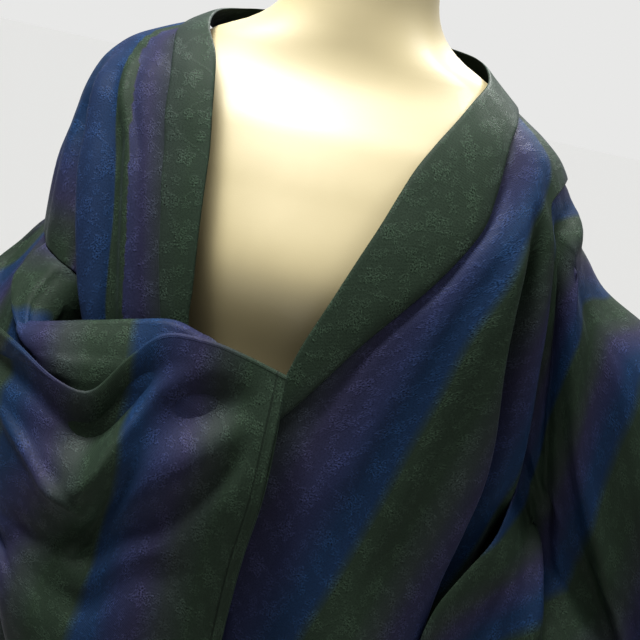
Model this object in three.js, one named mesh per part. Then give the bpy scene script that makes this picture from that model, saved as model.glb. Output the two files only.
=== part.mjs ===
import * as THREE from "three";

// A kimono coat on a limbless dress form, in millimetres. +X is the wearer's left, the front
// faces -Y and +Z is up. The origin is on the floor, under the middle of the stand's base.
//
// The coat's body hangs on rings: at each height, a rounded oval with its own half widths and
// depths. A place on it is an angle round the body and a height. The angle is in degrees from
// the front centre, the wearer's left positive, and 180 at the centre-back seam.

const CLOTH = 1.8; // thickness of the coat's cloth
const BAND = 2.2; // thickness of the collar band, folded double
const CLEAR = 0.5; // from the dress form to the cloth
const LAYER = 1.2; // between cloth that lies on cloth
const UNDER_DROP = 6; // how far the under front lies below the upper one
const HIDDEN_DROP = 7; // how much further it sinks past the middle
const TUCK = 5; // how far a body edge goes under the collar, and a sleeve edge under the body
const SEAM_STRIP = 7; // width of a sleeve's first strip, along the body's edge

// How a sleeve's edge lies at the body's edge: how far past it, at which height above the
// rings, and how much its first strip rises.
const UNDER = { reach: -TUCK, lift: CLEAR - 1.5 * LAYER, rise: 0 };
const BESIDE = { reach: 1, lift: CLEAR - 1.5 * LAYER, rise: 0 };
const OVER = { reach: 1, lift: CLEAR + 2 * CLOTH + LAYER, rise: 0 };
const ACROSS = { reach: 1, lift: CLEAR + CLOTH + LAYER / 3, rise: 6 };
const OVERLAP_TAPER = 4; // how far an overlap panel's point ends below the collar's seam
const CENTRE_BACK = 179.985; // degrees to the seam at the centre back, less half its gap
const TALLEST_STEP = 95; // longest stretch of cloth between two cross rows
const FORM_STEP = 45; // longest stretch of the dress form between two rings
const JOINT_GAP = 0.3; // between the stand's parts
const ROUND = 0.8; // roundness of a ring: 1 is an ellipse, less is squarer
const LINES = {
  panel: [0, 0.07, 0.17, 0.29, 0.4, 0.49, 0.56, 0.61, 0.66, 0.71, 0.77, 0.84, 0.92, 1],
  overlap: [0, 0.33, 0.66, 1],
  collar: [0, 0.3, 0.65, 1],
  sleeve: [0, 0.04, 0.09, 0.15, 0.22, 0.3, 0.39, 0.48, 0.58, 0.68, 0.79, 0.9, 1],
};

const POLE_RADIUS = 14;
const BASE_RADIUS = 190;
const BASE_HEIGHT = 20;
const BASE_PROFILE = [[0, 0], [BASE_RADIUS, 0], [BASE_RADIUS, 8], [BASE_RADIUS - 30, 13],
  [40, BASE_HEIGHT], [0, BASE_HEIGHT]];
const POLE_SIDES = 24;
const BASE_SIDES = 40;

// The coat: half width on the wearer's left and right, depth to the front and back.
const COAT = [
  { z: 430, left: 205, right: 205, front: 150, back: 142 },
  { z: 600, left: 200, right: 200, front: 146, back: 138 },
  { z: 800, left: 180, right: 190, front: 140, back: 132 },
  { z: 900, left: 172, right: 190, front: 137, back: 128 },
  { z: 960, left: 180, right: 196, front: 135, back: 124 },
  { z: 1000, left: 190, right: 200, front: 134, back: 121 },
  { z: 1050, left: 200, right: 203, front: 132, back: 117 },
  { z: 1150, left: 201, right: 206, front: 127, back: 112 },
  { z: 1200, left: 200, right: 206, front: 119, back: 111 },
  { z: 1230, left: 197, right: 201, front: 110, back: 112 },
  { z: 1256, left: 186, right: 197, front: 101, back: 113 },
  { z: 1279, left: 172, right: 189, front: 90, back: 112 },
  { z: 1293, left: 155, right: 179, front: 80, back: 109 },
  { z: 1304, left: 137, right: 166, front: 73, back: 104 },
  { z: 1314, left: 122, right: 146, front: 66, back: 98 },
  { z: 1325, left: 108, right: 121, front: 58, back: 89 },
  { z: 1334, left: 99, right: 106, front: 52, back: 80 },
];

// The dress form, from its flat underside to the top of its neck.
const FORM = [
  { z: 770, side: 150, front: 92, back: 96 },
  { z: 850, side: 160, front: 104, back: 108 },
  { z: 930, side: 156, front: 104, back: 106 },
  { z: 1010, side: 136, front: 92, back: 88 },
  { z: 1090, side: 142, front: 102, back: 92 },
  { z: 1160, side: 152, front: 113, back: 97 },
  { z: 1222, side: 163, front: 96, back: 98 },
  { z: 1262, side: 163, front: 80, back: 94 },
  { z: 1280, side: 158, front: 70, back: 88 },
  { z: 1293, side: 149.5, front: 63, back: 80 },
  { z: 1304, side: 135.6, front: 58, back: 74 },
  { z: 1314, side: 121.6, front: 55, back: 69 },
  { z: 1325, side: 107.5, front: 53, back: 64 },
  { z: 1337, side: 84, front: 52, back: 60 },
  { z: 1350, side: 68, front: 51, back: 56 },
  { z: 1368, side: 58, front: 50, back: 53 },
  { z: 1395, side: 54, front: 50, back: 51 },
  { z: 1430, side: 53, front: 50, back: 51 },
];
const FORM_SIDES = 28;

// The body panels, row by row from the front hem over the shoulder to the back hem. Each row
// runs from the inner edge (overlap seam, collar seam or centre back) to the outer edge
// (side seam, side opening or sleeve seam). A skirt row also has the collar's seam and free
// edge, with the overlap panel between that seam and the body. A collar row has the free edge.
const LEFT_SKIRT = [
  { innerZ: 430, inner: 7.9, outerZ: 430, outer: 92.95, seam: -20.9, free: -34.5 },
  { innerZ: 600, inner: 5.4, outerZ: 600, outer: 91.95, seam: -22.3, free: -36.9 },
  { innerZ: 800, inner: 2.6, outerZ: 800, outer: 90.95, seam: -23.8, free: -40.7 },
  { innerZ: 855, inner: 1.9, outerZ: 855, outer: 90.45, seam: -22.5, free: -38.5 },
  { innerZ: 905, inner: 1.2, outerZ: 905, outer: 89.95, seam: -18.2, free: -32.3 },
  { innerZ: 955, inner: 0.7, outerZ: 950, outer: 87, seam: -11.9, free: -22.3 },
  { innerZ: 1000, inner: 0.4, outerZ: 990, outer: 82, seam: -5.4, free: -12.8 },
];
const LEFT_COLLAR_ROWS = [
  { innerZ: 1043, inner: 0, outerZ: 1030, outer: 76, freeZ: 1050, free: -3.3 },
  { innerZ: 1064, inner: 2.3, outerZ: 1055, outer: 74.3, freeZ: 1078, free: 0.4 },
  { innerZ: 1080, inner: 4.7, outerZ: 1072, outer: 73, freeZ: 1094, free: 1.9 },
  { innerZ: 1100, inner: 7.8, outerZ: 1090, outer: 71.5, freeZ: 1118, free: 3.2 },
  { innerZ: 1128, inner: 12.6, outerZ: 1115, outer: 69.5, freeZ: 1152, free: 5.9 },
  { innerZ: 1157, inner: 19, outerZ: 1145, outer: 67, freeZ: 1186, free: 8.9 },
  { innerZ: 1179, inner: 24.3, outerZ: 1168, outer: 65, freeZ: 1212, free: 11.5 },
  { innerZ: 1202, inner: 29.5, outerZ: 1190, outer: 63, freeZ: 1234, free: 13.8 },
  { innerZ: 1226, inner: 34.4, outerZ: 1212, outer: 61, freeZ: 1255, free: 17 },
  { innerZ: 1250, inner: 38.2, outerZ: 1232, outer: 59.5, freeZ: 1275, free: 22 },
  { innerZ: 1270, inner: 42, outerZ: 1245, outer: 60, freeZ: 1293, free: 30.5 },
  { innerZ: 1285, inner: 47.5, outerZ: 1254, outer: 63, freeZ: 1308, free: 44 },
  { innerZ: 1299, inner: 62, outerZ: 1263, outer: 74, freeZ: 1322, free: 66 },
  { innerZ: 1309, inner: 90, outerZ: 1270, outer: 90, freeZ: 1333, free: 90 },
  { innerZ: 1310, inner: 108, outerZ: 1266, outer: 100, freeX: 94, freeY: 38, freeZ: 1341 },
  { innerZ: 1308, inner: 128, outerZ: 1256, outer: 109, freeX: 79, freeY: 60, freeZ: 1344 },
  { innerZ: 1303, inner: 146, outerZ: 1240, outer: 115, freeX: 57, freeY: 76, freeZ: 1346 },
  { innerZ: 1296, inner: 163, outerZ: 1215, outer: 116.5, freeX: 30, freeY: 85, freeZ: 1347 },
  { innerZ: 1291, inner: CENTRE_BACK, outerZ: 1185, outer: 116, freeX: 0, freeY: 88, freeZ: 1347 },
];
const LEFT_BACK = [
  { innerZ: 1262, inner: CENTRE_BACK, outerZ: 1150, outer: 114.5 },
  { innerZ: 1215, inner: CENTRE_BACK, outerZ: 1112, outer: 112.5 },
  { innerZ: 1150, inner: CENTRE_BACK, outerZ: 1072, outer: 110.5 },
  { innerZ: 1080, inner: CENTRE_BACK, outerZ: 1032, outer: 107 },
  { innerZ: 985, inner: CENTRE_BACK, outerZ: 975, outer: 98 },
  { innerZ: 905, inner: CENTRE_BACK, outerZ: 905, outer: 90.05 },
  { innerZ: 800, inner: CENTRE_BACK, outerZ: 800, outer: 91.05 },
  { innerZ: 600, inner: CENTRE_BACK, outerZ: 600, outer: 92.05 },
  { innerZ: 430, inner: CENTRE_BACK, outerZ: 430, outer: 93.05 },
];
const RIGHT_SKIRT = [
  { innerZ: 430, inner: 9.9, outerZ: 430, outer: 92.95, seam: -20, free: -35 },
  { innerZ: 600, inner: 9.5, outerZ: 600, outer: 91.95, seam: -21, free: -36 },
  { innerZ: 800, inner: 9.5, outerZ: 800, outer: 88.95, seam: -22, free: -38 },
  { innerZ: 870, inner: 9.7, outerZ: 870, outer: 78.95, seam: -18, free: -32 },
  { innerZ: 915, inner: 9.9, outerZ: 905, outer: 68, seam: -10, free: -23 },
  { innerZ: 960, inner: 10.2, outerZ: 935, outer: 60, seam: -1, free: -12.5 },
  { innerZ: 1002, inner: 10.8, outerZ: 965, outer: 53.5, seam: 7, free: -2.5 },
];
const RIGHT_COLLAR_ROWS = [
  { innerZ: 1035, inner: 12.5, outerZ: 990, outer: 50, freeZ: 1047, free: 5.5 },
  { innerZ: 1060, inner: 15, outerZ: 1012, outer: 47.5, freeZ: 1070, free: 9.5 },
  { innerZ: 1085, inner: 17, outerZ: 1035, outer: 46, freeZ: 1095, free: 12.3 },
  { innerZ: 1113, inner: 18.9, outerZ: 1065, outer: 44.5, freeZ: 1120, free: 13.6 },
  { innerZ: 1136, inner: 20.6, outerZ: 1095, outer: 44.5, freeZ: 1142, free: 14 },
  { innerZ: 1160, inner: 22.3, outerZ: 1117, outer: 46.5, freeZ: 1165, free: 14.7 },
  { innerZ: 1182, inner: 23.6, outerZ: 1128, outer: 51, freeZ: 1187, free: 15.4 },
  { innerZ: 1207, inner: 25.6, outerZ: 1133, outer: 57, freeZ: 1212, free: 16.4 },
  { innerZ: 1231, inner: 27.9, outerZ: 1138, outer: 64, freeZ: 1237, free: 17.8 },
  { innerZ: 1256, inner: 31, outerZ: 1142, outer: 70, freeZ: 1262, free: 20 },
  { innerZ: 1280, inner: 34.6, outerZ: 1146, outer: 75, freeZ: 1284, free: 23 },
  { innerZ: 1297, inner: 40.5, outerZ: 1149, outer: 80, freeZ: 1303, free: 29 },
  { innerZ: 1313, inner: 56, outerZ: 1153, outer: 85, freeZ: 1321, free: 51 },
  { innerZ: 1324, inner: 90, outerZ: 1157, outer: 90, freeZ: 1333, free: 90 },
  { innerZ: 1322, inner: 108, outerZ: 1152, outer: 90.1, freeX: 96, freeY: 38, freeZ: 1341 },
  { innerZ: 1316, inner: 128, outerZ: 1140, outer: 89.4, freeX: 80, freeY: 60, freeZ: 1344 },
  { innerZ: 1308, inner: 146, outerZ: 1128, outer: 87.4, freeX: 57, freeY: 76, freeZ: 1346 },
  { innerZ: 1298, inner: 163, outerZ: 1114, outer: 84.5, freeX: 30, freeY: 85, freeZ: 1347 },
  { innerZ: 1291, inner: CENTRE_BACK, outerZ: 1098, outer: 81.5, freeX: 0, freeY: 88, freeZ: 1347 },
];
const RIGHT_BACK = [
  { innerZ: 1262, inner: CENTRE_BACK, outerZ: 1080, outer: 78.5 },
  { innerZ: 1225, inner: CENTRE_BACK, outerZ: 1058, outer: 75 },
  { innerZ: 1175, inner: CENTRE_BACK, outerZ: 1034, outer: 70.5 },
  { innerZ: 1110, inner: CENTRE_BACK, outerZ: 1010, outer: 65.5 },
  { innerZ: 1050, inner: CENTRE_BACK, outerZ: 990, outer: 61 },
  { innerZ: 985, inner: CENTRE_BACK, outerZ: 962, outer: 63 },
  { innerZ: 930, inner: CENTRE_BACK, outerZ: 925, outer: 68 },
  { innerZ: 870, inner: CENTRE_BACK, outerZ: 870, outer: 79.05 },
  { innerZ: 800, inner: CENTRE_BACK, outerZ: 800, outer: 89.05 },
  { innerZ: 600, inner: CENTRE_BACK, outerZ: 600, outer: 92.05 },
  { innerZ: 430, inner: CENTRE_BACK, outerZ: 430, outer: 93.05 },
];

const POINT_GAP = 1.2; // degrees from an overlap panel's upper point to the collar seam
const SEAM_TURN = 0.25; // degrees between an overlap panel and the body panel

// Where the fronts cross, the under one lies low: fully up to the first angle or height, and
// not at all past the second. Its hidden part starts at the middle. No fold crosses the middle.
const CROSSED_ANGLE = [45, 62];
const CROSSED_Z = [1055, 1120];
const HIDDEN_ANGLE = [3, 16];
const FOLD_START = [2, 8];

// Folds of the body: a ridge, or a groove where the height is below 0. The path gives the
// angle at three or four heights, and near and far are its widths to the front and the back.
const LEFT_FOLDS = [
  { name: "front roll", z: [760, 935, 1058, 1142, 1223], angle: [60, 51, 50.5, 47, 47],
    near: 26, far: 9, height: 9, fade: 60 },
  { name: "side groove", z: [740, 935, 1058, 1142, 1223], angle: [70, 60, 57.5, 53, 52],
    near: 8, far: 9, height: -15, fade: 60 },
  { name: "seam roll", z: [1000, 1088, 1182, 1240], angle: [76, 67, 59.5, 56],
    near: 9, far: 9, height: 4, fade: 40 },
  { name: "chest crease", z: [1010, 1105, 1198, 1277], angle: [14, 22.7, 35.3, 60],
    near: 16, far: 9, height: 2.5, fade: 60 },
  { name: "left hip fold", z: [430, 600, 800, 940], angle: [46, 42, 35, 30],
    near: 30, far: 24, height: 11, fade: 120 },
  { name: "left hip hollow", z: [430, 600, 800], angle: [66, 63, 62],
    near: 22, far: 22, height: -9, fade: 90 },
  { name: "left back fold", z: [430, 700, 1000, 1150], angle: [152, 150, 148, 145],
    near: 26, far: 22, height: 8, fade: 160 },
  { name: "left back hollow", z: [430, 700, 950], angle: [130, 128, 122],
    near: 24, far: 24, height: -8, fade: 160 },
];
const RIGHT_FOLDS = [
  { name: "middle pleat", z: [1060, 1133, 1217, 1287], angle: [25, 29.7, 36.8, 52.6],
    near: 15, far: 5, height: 4.5, fade: 45 },
  { name: "outer pleat", z: [1060, 1120, 1180, 1245, 1275], angle: [33, 41, 48, 56, 62],
    near: 20, far: 5, height: 9, fade: 40 },
  { name: "armhole hollow", z: [1060, 1120, 1180, 1245], angle: [38, 46.5, 54, 63],
    near: 7, far: 8, height: -13, fade: 50 },
  { name: "right hip fold", z: [430, 600, 800, 920], angle: [40, 44, 50, 54],
    near: 28, far: 24, height: 10, fade: 120 },
  { name: "right hip hollow", z: [430, 600, 780], angle: [64, 66, 70],
    near: 22, far: 20, height: -8, fade: 90 },
  { name: "right back fold", z: [430, 700, 1000, 1120], angle: [118, 122, 128, 132],
    near: 26, far: 24, height: 9, fade: 160 },
  { name: "right back hollow", z: [430, 700, 950], angle: [146, 148, 150],
    near: 24, far: 24, height: -7, fade: 160 },
];

// The left sleeve hangs out to the side. Its top runs from the shoulder to the cuff, and its
// open body edge goes on from the armhole down to the sleeve's bottom.
const SLEEVE_WIDTH = 340;
const RIDGE = 13; // the collar row on the shoulder's ridge
const LEFT_TACK = 23; // rows up to the lower end of the left sleeve's seam, at the back
const RIGHT_TACK = 24; // the same on the right
const RIGHT_FRONT_END = 10; // rows up to the top of the right sleeve's front seam
const LEFT_SLEEVE = {
  top: [[187, 3, 1256], [197, 5, 1230], [214, 5, 1209], [231, 5, 1191], [263, 5, 1174],
    [320, 0, 1145], [390, -5, 1108], [440, -8, 1080]],
  frontOpening: [[189, -84, 1000], [172, -98, 972], [157, -105, 942], [151, -107, 905],
    [153, -109, 855], [158, -107, 790]],
  backOpening: [[206, 20, 980], [209, -15, 930], [199, -52, 880], [181, -84, 830],
    [161, -101, 789]],
  frontCuff: [[438, -24, 1000], [428, -22, 900], [418, -16, 800], [408, -13, 700]],
  backCuff: [[442, 8, 1000], [434, 10, 900], [420, -6, 800], [409, -6, 700]],
  frontBottom: [[200, -88, 752], [270, -63, 702], [340, -36, 645], [398, -13, 597]],
  backBottom: [[200, -82, 752], [270, -57, 702], [340, -30, 645], [398, -7, 597]],
};
const LEFT_SLEEVE_FOLDS = [
  { name: "shoulder hollow", h: [0.03, 0.2, 0.4, 0.6], u: [0.03, 0.07, 0.15, 0.3],
    near: 9, far: 11, height: -8 },
  { name: "shoulder ridge", h: [0.03, 0.15, 0.3, 0.42, 0.55], u: [0.07, 0.13, 0.24, 0.4, 0.6],
    near: 12, far: 26, height: 12 },
  { name: "tack ridge", h: [0.5, 0.6, 0.8], u: [0.1, 0.2, 0.38],
    near: 12, far: 16, height: 10 },
  { name: "outer hollow", h: [0.3, 0.6, 0.85], u: [0.55, 0.62, 0.66],
    near: 26, far: 26, height: -9 },
];

// The right sleeve is swung to the front and pinned at the chest. Between the pin and the
// shoulder its top sags into a hollow between an outer and an inner lip.
const RIGHT_SLEEVE = {
  outerLip: [[-216, -8, 1141], [-227, -14, 1127], [-241, -32, 1107], [-236, -78, 1092],
    [-210, -118, 1084], [-178, -146, 1076], [-142, -164, 1062], [-117, -167, 1060],
    [-96, -164, 1088], [-74, -161, 1111], [-42, -162, 1114], [-17, -161, 1110], [16, -157, 1101]],
  innerLip: [[-206, -72, 1114], [-186, -112, 1088], [-160, -131, 1094], [-128, -136, 1103],
    [-100, -139, 1104], [-71, -143, 1108], [-42, -146, 1110], [14, -147, 1098]],
  trough: [[-204, -16, 1130], [-222, -52, 1060], [-212, -92, 1030], [-186, -130, 1034],
    [-150, -150, 1040], [-118, -152, 1042], [-96, -151, 1062], [-74, -152, 1086],
    [-42, -154, 1096], [15, -152, 1086]],
  outerOpening: [[-165, -120, 976], [-154, -137, 955], [-146, -142, 930], [-120, -150, 858],
    [-104, -160, 760], [-98, -165, 676]],
  innerOpening: [[-172, -104, 972], [-186, -104, 935], [-193, -106, 870], [-180, -118, 790],
    [-140, -148, 690]],
  outerCuff: [[17, -170, 1050], [17, -174, 1009], [12, -170, 960], [10, -165, 900],
    [8, -164, 760]],
  innerCuff: [[17, -151, 1050], [17, -154, 1009], [12, -156, 960], [10, -158, 900],
    [8, -158.5, 760]],
  outerBottom: [[-60, -169, 650], [-20, -167, 634], [6, -164, 626]],
  innerBottom: [[-80, -157, 655], [-20, -158, 634], [6, -158.5, 626]],
};
const RIGHT_SLEEVE_FOLDS = [
  { name: "upper swell", h: [0.02, 0.08, 0.14], u: [0.72, 0.62, 0.5],
    near: 34, far: 34, height: 9 },
  { name: "swag fold", h: [0.08, 0.16, 0.24, 0.3], u: [0.9, 0.8, 0.66, 0.5],
    near: 24, far: 24, height: 9 },
  { name: "swag hollow", h: [0.04, 0.12, 0.2], u: [0.86, 0.72, 0.55],
    near: 18, far: 18, height: -7 },
];
const SLEEVE_FADE = [0.05, 0.08]; // how far a sleeve's fold fades in and out, of its height
const SLEEVE_FLAT = [0.1, 0.93, 0.9]; // no fold at the body, at the cuff or at the bottom
const FALL_PULL = 6; // how fast the sagging top is drawn up to the armhole
const MARGIN = { u: 0.01, row: 0.1 }; // half steps for a sleeve's normal

const radians = THREE.MathUtils.degToRad;
const ease = THREE.MathUtils.smoothstep;
const blend = THREE.MathUtils.lerp;
const place = (x, y, z) => new THREE.Vector3(x, y, z);
const toPoints = (rows) => rows.map(([x, y, z]) => place(x, y, z));
const smooth = (knots) => new THREE.CatmullRomCurve3(knots);
const inside = (x, low, high, margin) => THREE.MathUtils.clamp(x, low + margin, high - margin);

// The height of a smooth curve through the points (xs, ys), held level past its ends.
function through(xs, ys, x) {
  const last = xs.length - 1;
  let i = 0;
  while (i < last - 1 && x > xs[i + 1]) i += 1;
  const slope = (k) => {
    const a = Math.max(k - 1, 0);
    const b = Math.min(k + 1, last);
    return (ys[b] - ys[a]) / (xs[b] - xs[a]);
  };
  const width = xs[i + 1] - xs[i];
  const s = THREE.MathUtils.clamp((x - xs[i]) / width, 0, 1);
  const start = ys[i] * (1 + 2 * s) * (1 - s) ** 2 + slope(i) * width * s * (1 - s) ** 2;
  const end = ys[i + 1] * s * s * (3 - 2 * s) - slope(i + 1) * width * s * s * (1 - s);
  return start + end;
}

function column(rows, name) {
  return rows.map((row) => row[name]);
}

function ringSize(rings, name, z) {
  return through(column(rings, "z"), column(rings, name), z);
}

function onRing(angle, z) {
  const sine = Math.sin(radians(angle));
  const cosine = Math.cos(radians(angle));
  const half = ringSize(COAT, angle < 0 ? "right" : "left", z);
  const depth = ringSize(COAT, cosine > 0 ? "front" : "back", z);
  const x = half * Math.sign(sine) * Math.abs(sine) ** ROUND;
  const y = -depth * Math.sign(cosine) * Math.abs(cosine) ** ROUND;
  return place(x, y, z);
}

// The direction straight out of the coat's surface.
function outOfRing(angle, z) {
  const step = 1.5;
  const low = Math.min(z, COAT.at(-1).z - step);
  const along = onRing(angle, low + step).sub(onRing(angle, low - step));
  const round = onRing(angle + step, low).sub(onRing(angle - step, low));
  return round.cross(along).normalize();
}

function foldHeight(folds, angle, z) {
  const here = onRing(angle, z);
  let total = 0;
  for (const fold of folds) {
    const bottom = fold.z[0];
    const top = fold.z.at(-1);
    if (z < bottom - fold.fade || z > top + fold.fade) continue;
    const path = through(fold.z, fold.angle, THREE.MathUtils.clamp(z, bottom, top));
    const across = here.distanceTo(onRing(path, z));
    const width = angle < path ? fold.near : fold.far;
    const half = fold.fade / 2;
    const fadeIn = bottom <= COAT[0].z ? 1 : ease(z, bottom - half, bottom + half);
    const fadeOut = 1 - ease(z, top - half, top + half);
    total += fold.height * fadeIn * fadeOut * Math.exp(-((across / width) ** 2));
  }
  return total;
}

// A point of a body layer. The upper front follows the folds of the one under it. The under
// front sinks below the upper one, and loses its folds past the middle.
function onBody(side, angle, z, lift) {
  const folds = angle > 0 ? LEFT_FOLDS : RIGHT_FOLDS;
  const own = Math.abs(angle);
  const hidden = side < 0 ? ease(angle, ...HIDDEN_ANGLE) : 0;
  const crossed = side < 0 ? (1 - ease(own, ...CROSSED_ANGLE)) * (1 - ease(z, ...CROSSED_Z)) : 0;
  const raised = foldHeight(folds, own, z) * ease(own, ...FOLD_START) * (1 - hidden);
  const sunk = UNDER_DROP * crossed + HIDDEN_DROP * hidden;
  return onRing(angle, z).addScaledVector(outOfRing(angle, z), lift - sunk + raised);
}

// A closed solid between two grids of points. Rows of a loop join up with their first point.
function wall(name, outer, inner, loop, material) {
  const rows = outer.length;
  const columns = outer[0].length;
  const corners = [...outer.flat(), ...inner.flat()];
  const faces = [];
  const at = (layer, i, j) => layer * rows * columns + i * columns + (j % columns);
  const quad = (a, b, c, d) => faces.push(a, b, c, a, c, d);
  const last = loop ? columns : columns - 1;
  for (let i = 0; i < rows - 1; i += 1) {
    for (let j = 0; j < last; j += 1) {
      quad(at(0, i, j), at(0, i + 1, j), at(0, i + 1, j + 1), at(0, i, j + 1));
      quad(at(1, i, j), at(1, i, j + 1), at(1, i + 1, j + 1), at(1, i + 1, j));
    }
  }
  for (let j = 0; j < last; j += 1) {
    quad(at(0, 0, j), at(0, 0, j + 1), at(1, 0, j + 1), at(1, 0, j));
    quad(at(0, rows - 1, j), at(1, rows - 1, j), at(1, rows - 1, j + 1), at(0, rows - 1, j + 1));
  }
  for (let i = 0; i < rows - 1 && !loop; i += 1) {
    quad(at(0, i, 0), at(1, i, 0), at(1, i + 1, 0), at(0, i + 1, 0));
    const end = columns - 1;
    quad(at(0, i, end), at(0, i + 1, end), at(1, i + 1, end), at(1, i, end));
  }
  return solid(name, corners, faces, material);
}

// A mesh with its faces turned so that they point out of the solid.
function solid(name, corners, faces, material) {
  let volume = 0;
  for (let k = 0; k < faces.length; k += 3) {
    const [a, b, c] = faces.slice(k, k + 3).map((f) => corners[f]);
    volume += a.dot(b.clone().cross(c));
  }
  if (volume < 0) faces.reverse();
  const geometry = new THREE.BufferGeometry().setFromPoints(corners);
  geometry.setIndex(faces);
  geometry.computeVertexNormals();
  const mesh = new THREE.Mesh(geometry, material);
  mesh.name = name;
  return mesh;
}

// Places along a table of rows, with long stretches cut into equal steps.
function placesAlong(rows) {
  const places = [0];
  for (let k = 1; k < rows.length; k += 1) {
    const steps = Math.ceil(Math.abs(rows[k].innerZ - rows[k - 1].innerZ) / TALLEST_STEP);
    for (let s = 1; s <= steps; s += 1) places.push(k - 1 + s / steps);
  }
  return places;
}

function rowAt(rows, at) {
  const index = rows.map((_, k) => k);
  const names = ["innerZ", "inner", "outerZ", "outer"];
  return Object.fromEntries(names.map((name) => [name, through(index, column(rows, name), at)]));
}

// How many degrees a length of cloth takes at a place on the coat.
function degreesFor(length, angle, z) {
  const step = 2;
  const from = Math.min(Math.max(angle, 2 * step), 180 - 2 * step);
  return (length * 2 * step) / onRing(from + step, z).distanceTo(onRing(from - step, z));
}

function bodyPanel(name, side, skirt, collarRows, back, material) {
  const rows = [...skirt, ...collarRows, ...back];
  const outer = [];
  const inner = [];
  for (const at of placesAlong(rows)) {
    const row = rowAt(rows, at);
    const underCollar = at > skirt.length + 0.5 && at < skirt.length + collarRows.length - 1.5;
    const tuck = underCollar ? degreesFor(TUCK, row.inner, row.innerZ) : 0;
    const start = Math.min(row.inner - tuck, CENTRE_BACK);
    const point = (u, lift) => {
      const angle = blend(start, row.outer, u);
      return onBody(side, side * angle, blend(row.innerZ, row.outerZ, u), lift);
    };
    outer.push(LINES.panel.map((u) => point(u, CLEAR + CLOTH)));
    inner.push(LINES.panel.map((u) => point(u, CLEAR)));
  }
  return wall(name, outer, inner, false, material);
}

function overlapPanel(name, side, skirt, firstCollarRow, material) {
  const top = firstCollarRow.inner - POINT_GAP;
  const tip = { innerZ: firstCollarRow.innerZ - OVERLAP_TAPER, seam: top, inner: top + POINT_GAP / 2 };
  const rows = [...skirt, tip];
  const index = rows.map((_, k) => k);
  const outer = [];
  const inner = [];
  for (const at of placesAlong(rows)) {
    const read = (key) => through(index, column(rows, key), at);
    const [z, from, to] = [read("innerZ"), read("seam"), read("inner")];
    const point = (u, lift) => onBody(side, side * blend(from, to - SEAM_TURN, u), z, lift);
    outer.push(LINES.overlap.map((u) => point(u, CLEAR + CLOTH)));
    inner.push(LINES.overlap.map((u) => point(u, CLEAR)));
  }
  return wall(name, outer, inner, false, material);
}

// One cross row of the collar, from its seam to its free edge.
function collarRow(side, row, lift) {
  return LINES.collar.map((u) => {
    if (row.freeX === undefined) {
      const angle = blend(row.inner, row.free, u);
      return onBody(side, side * angle, blend(row.innerZ, row.freeZ, u), lift);
    }
    const seam = onBody(side, side * row.inner, row.innerZ, lift);
    const lean = place(0, 1, 0.25).multiplyScalar(lift);
    return seam.lerp(place(side * row.freeX, row.freeY, row.freeZ).add(lean), u);
  });
}

// The collar is one band, from the left hem round the back of the neck to the right hem.
function collarBand(material) {
  const skirtRow = (row) => ({ ...row, inner: row.seam, freeZ: row.innerZ });
  const left = [...LEFT_SKIRT.map(skirtRow), ...LEFT_COLLAR_ROWS];
  const right = [...RIGHT_SKIRT.map(skirtRow), ...RIGHT_COLLAR_ROWS.slice(0, -1)].reverse();
  const rows = [...left.map((row) => [1, row]), ...right.map((row) => [-1, row])];
  const places = placesAlong(rows.map(([, row]) => row)).map((at) => at / (rows.length - 1));
  const grid = (lift) => {
    const knots = rows.map(([side, row]) => collarRow(side, row, lift));
    const curves = LINES.collar.map((_, k) => new THREE.CatmullRomCurve3(column(knots, k)));
    return places.map((at) => curves.map((curve) => curve.getPoint(at)));
  };
  const low = CLEAR + CLOTH + LAYER;
  return wall("collar", grid(low + BAND), grid(low), false, material);
}

// A sleeve's edge at the body, one row: the edge and a point one strip further out.
function seamPair(side, row, kind) {
  const at = (u, lift) => onBody(side, side * blend(row.inner, row.outer, u),
    blend(row.innerZ, row.outerZ, u), lift);
  const share = 0.1;
  const length = at(1 - share, 0).distanceTo(at(1, 0)) / share;
  return [at(1 + kind.reach / length, kind.lift),
    at(1 + (kind.reach + SEAM_STRIP) / length, kind.lift + kind.rise)];
}

// A sleeve's free edge, below the armhole: the edge and a point a little nearer to the cuff.
function freePairs(places, cuffEnd) {
  return toPoints(places).map((edge) => {
    const inward = cuffEnd.clone().sub(edge).setLength(SEAM_STRIP);
    return [edge, inward.add(edge)];
  });
}

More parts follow.
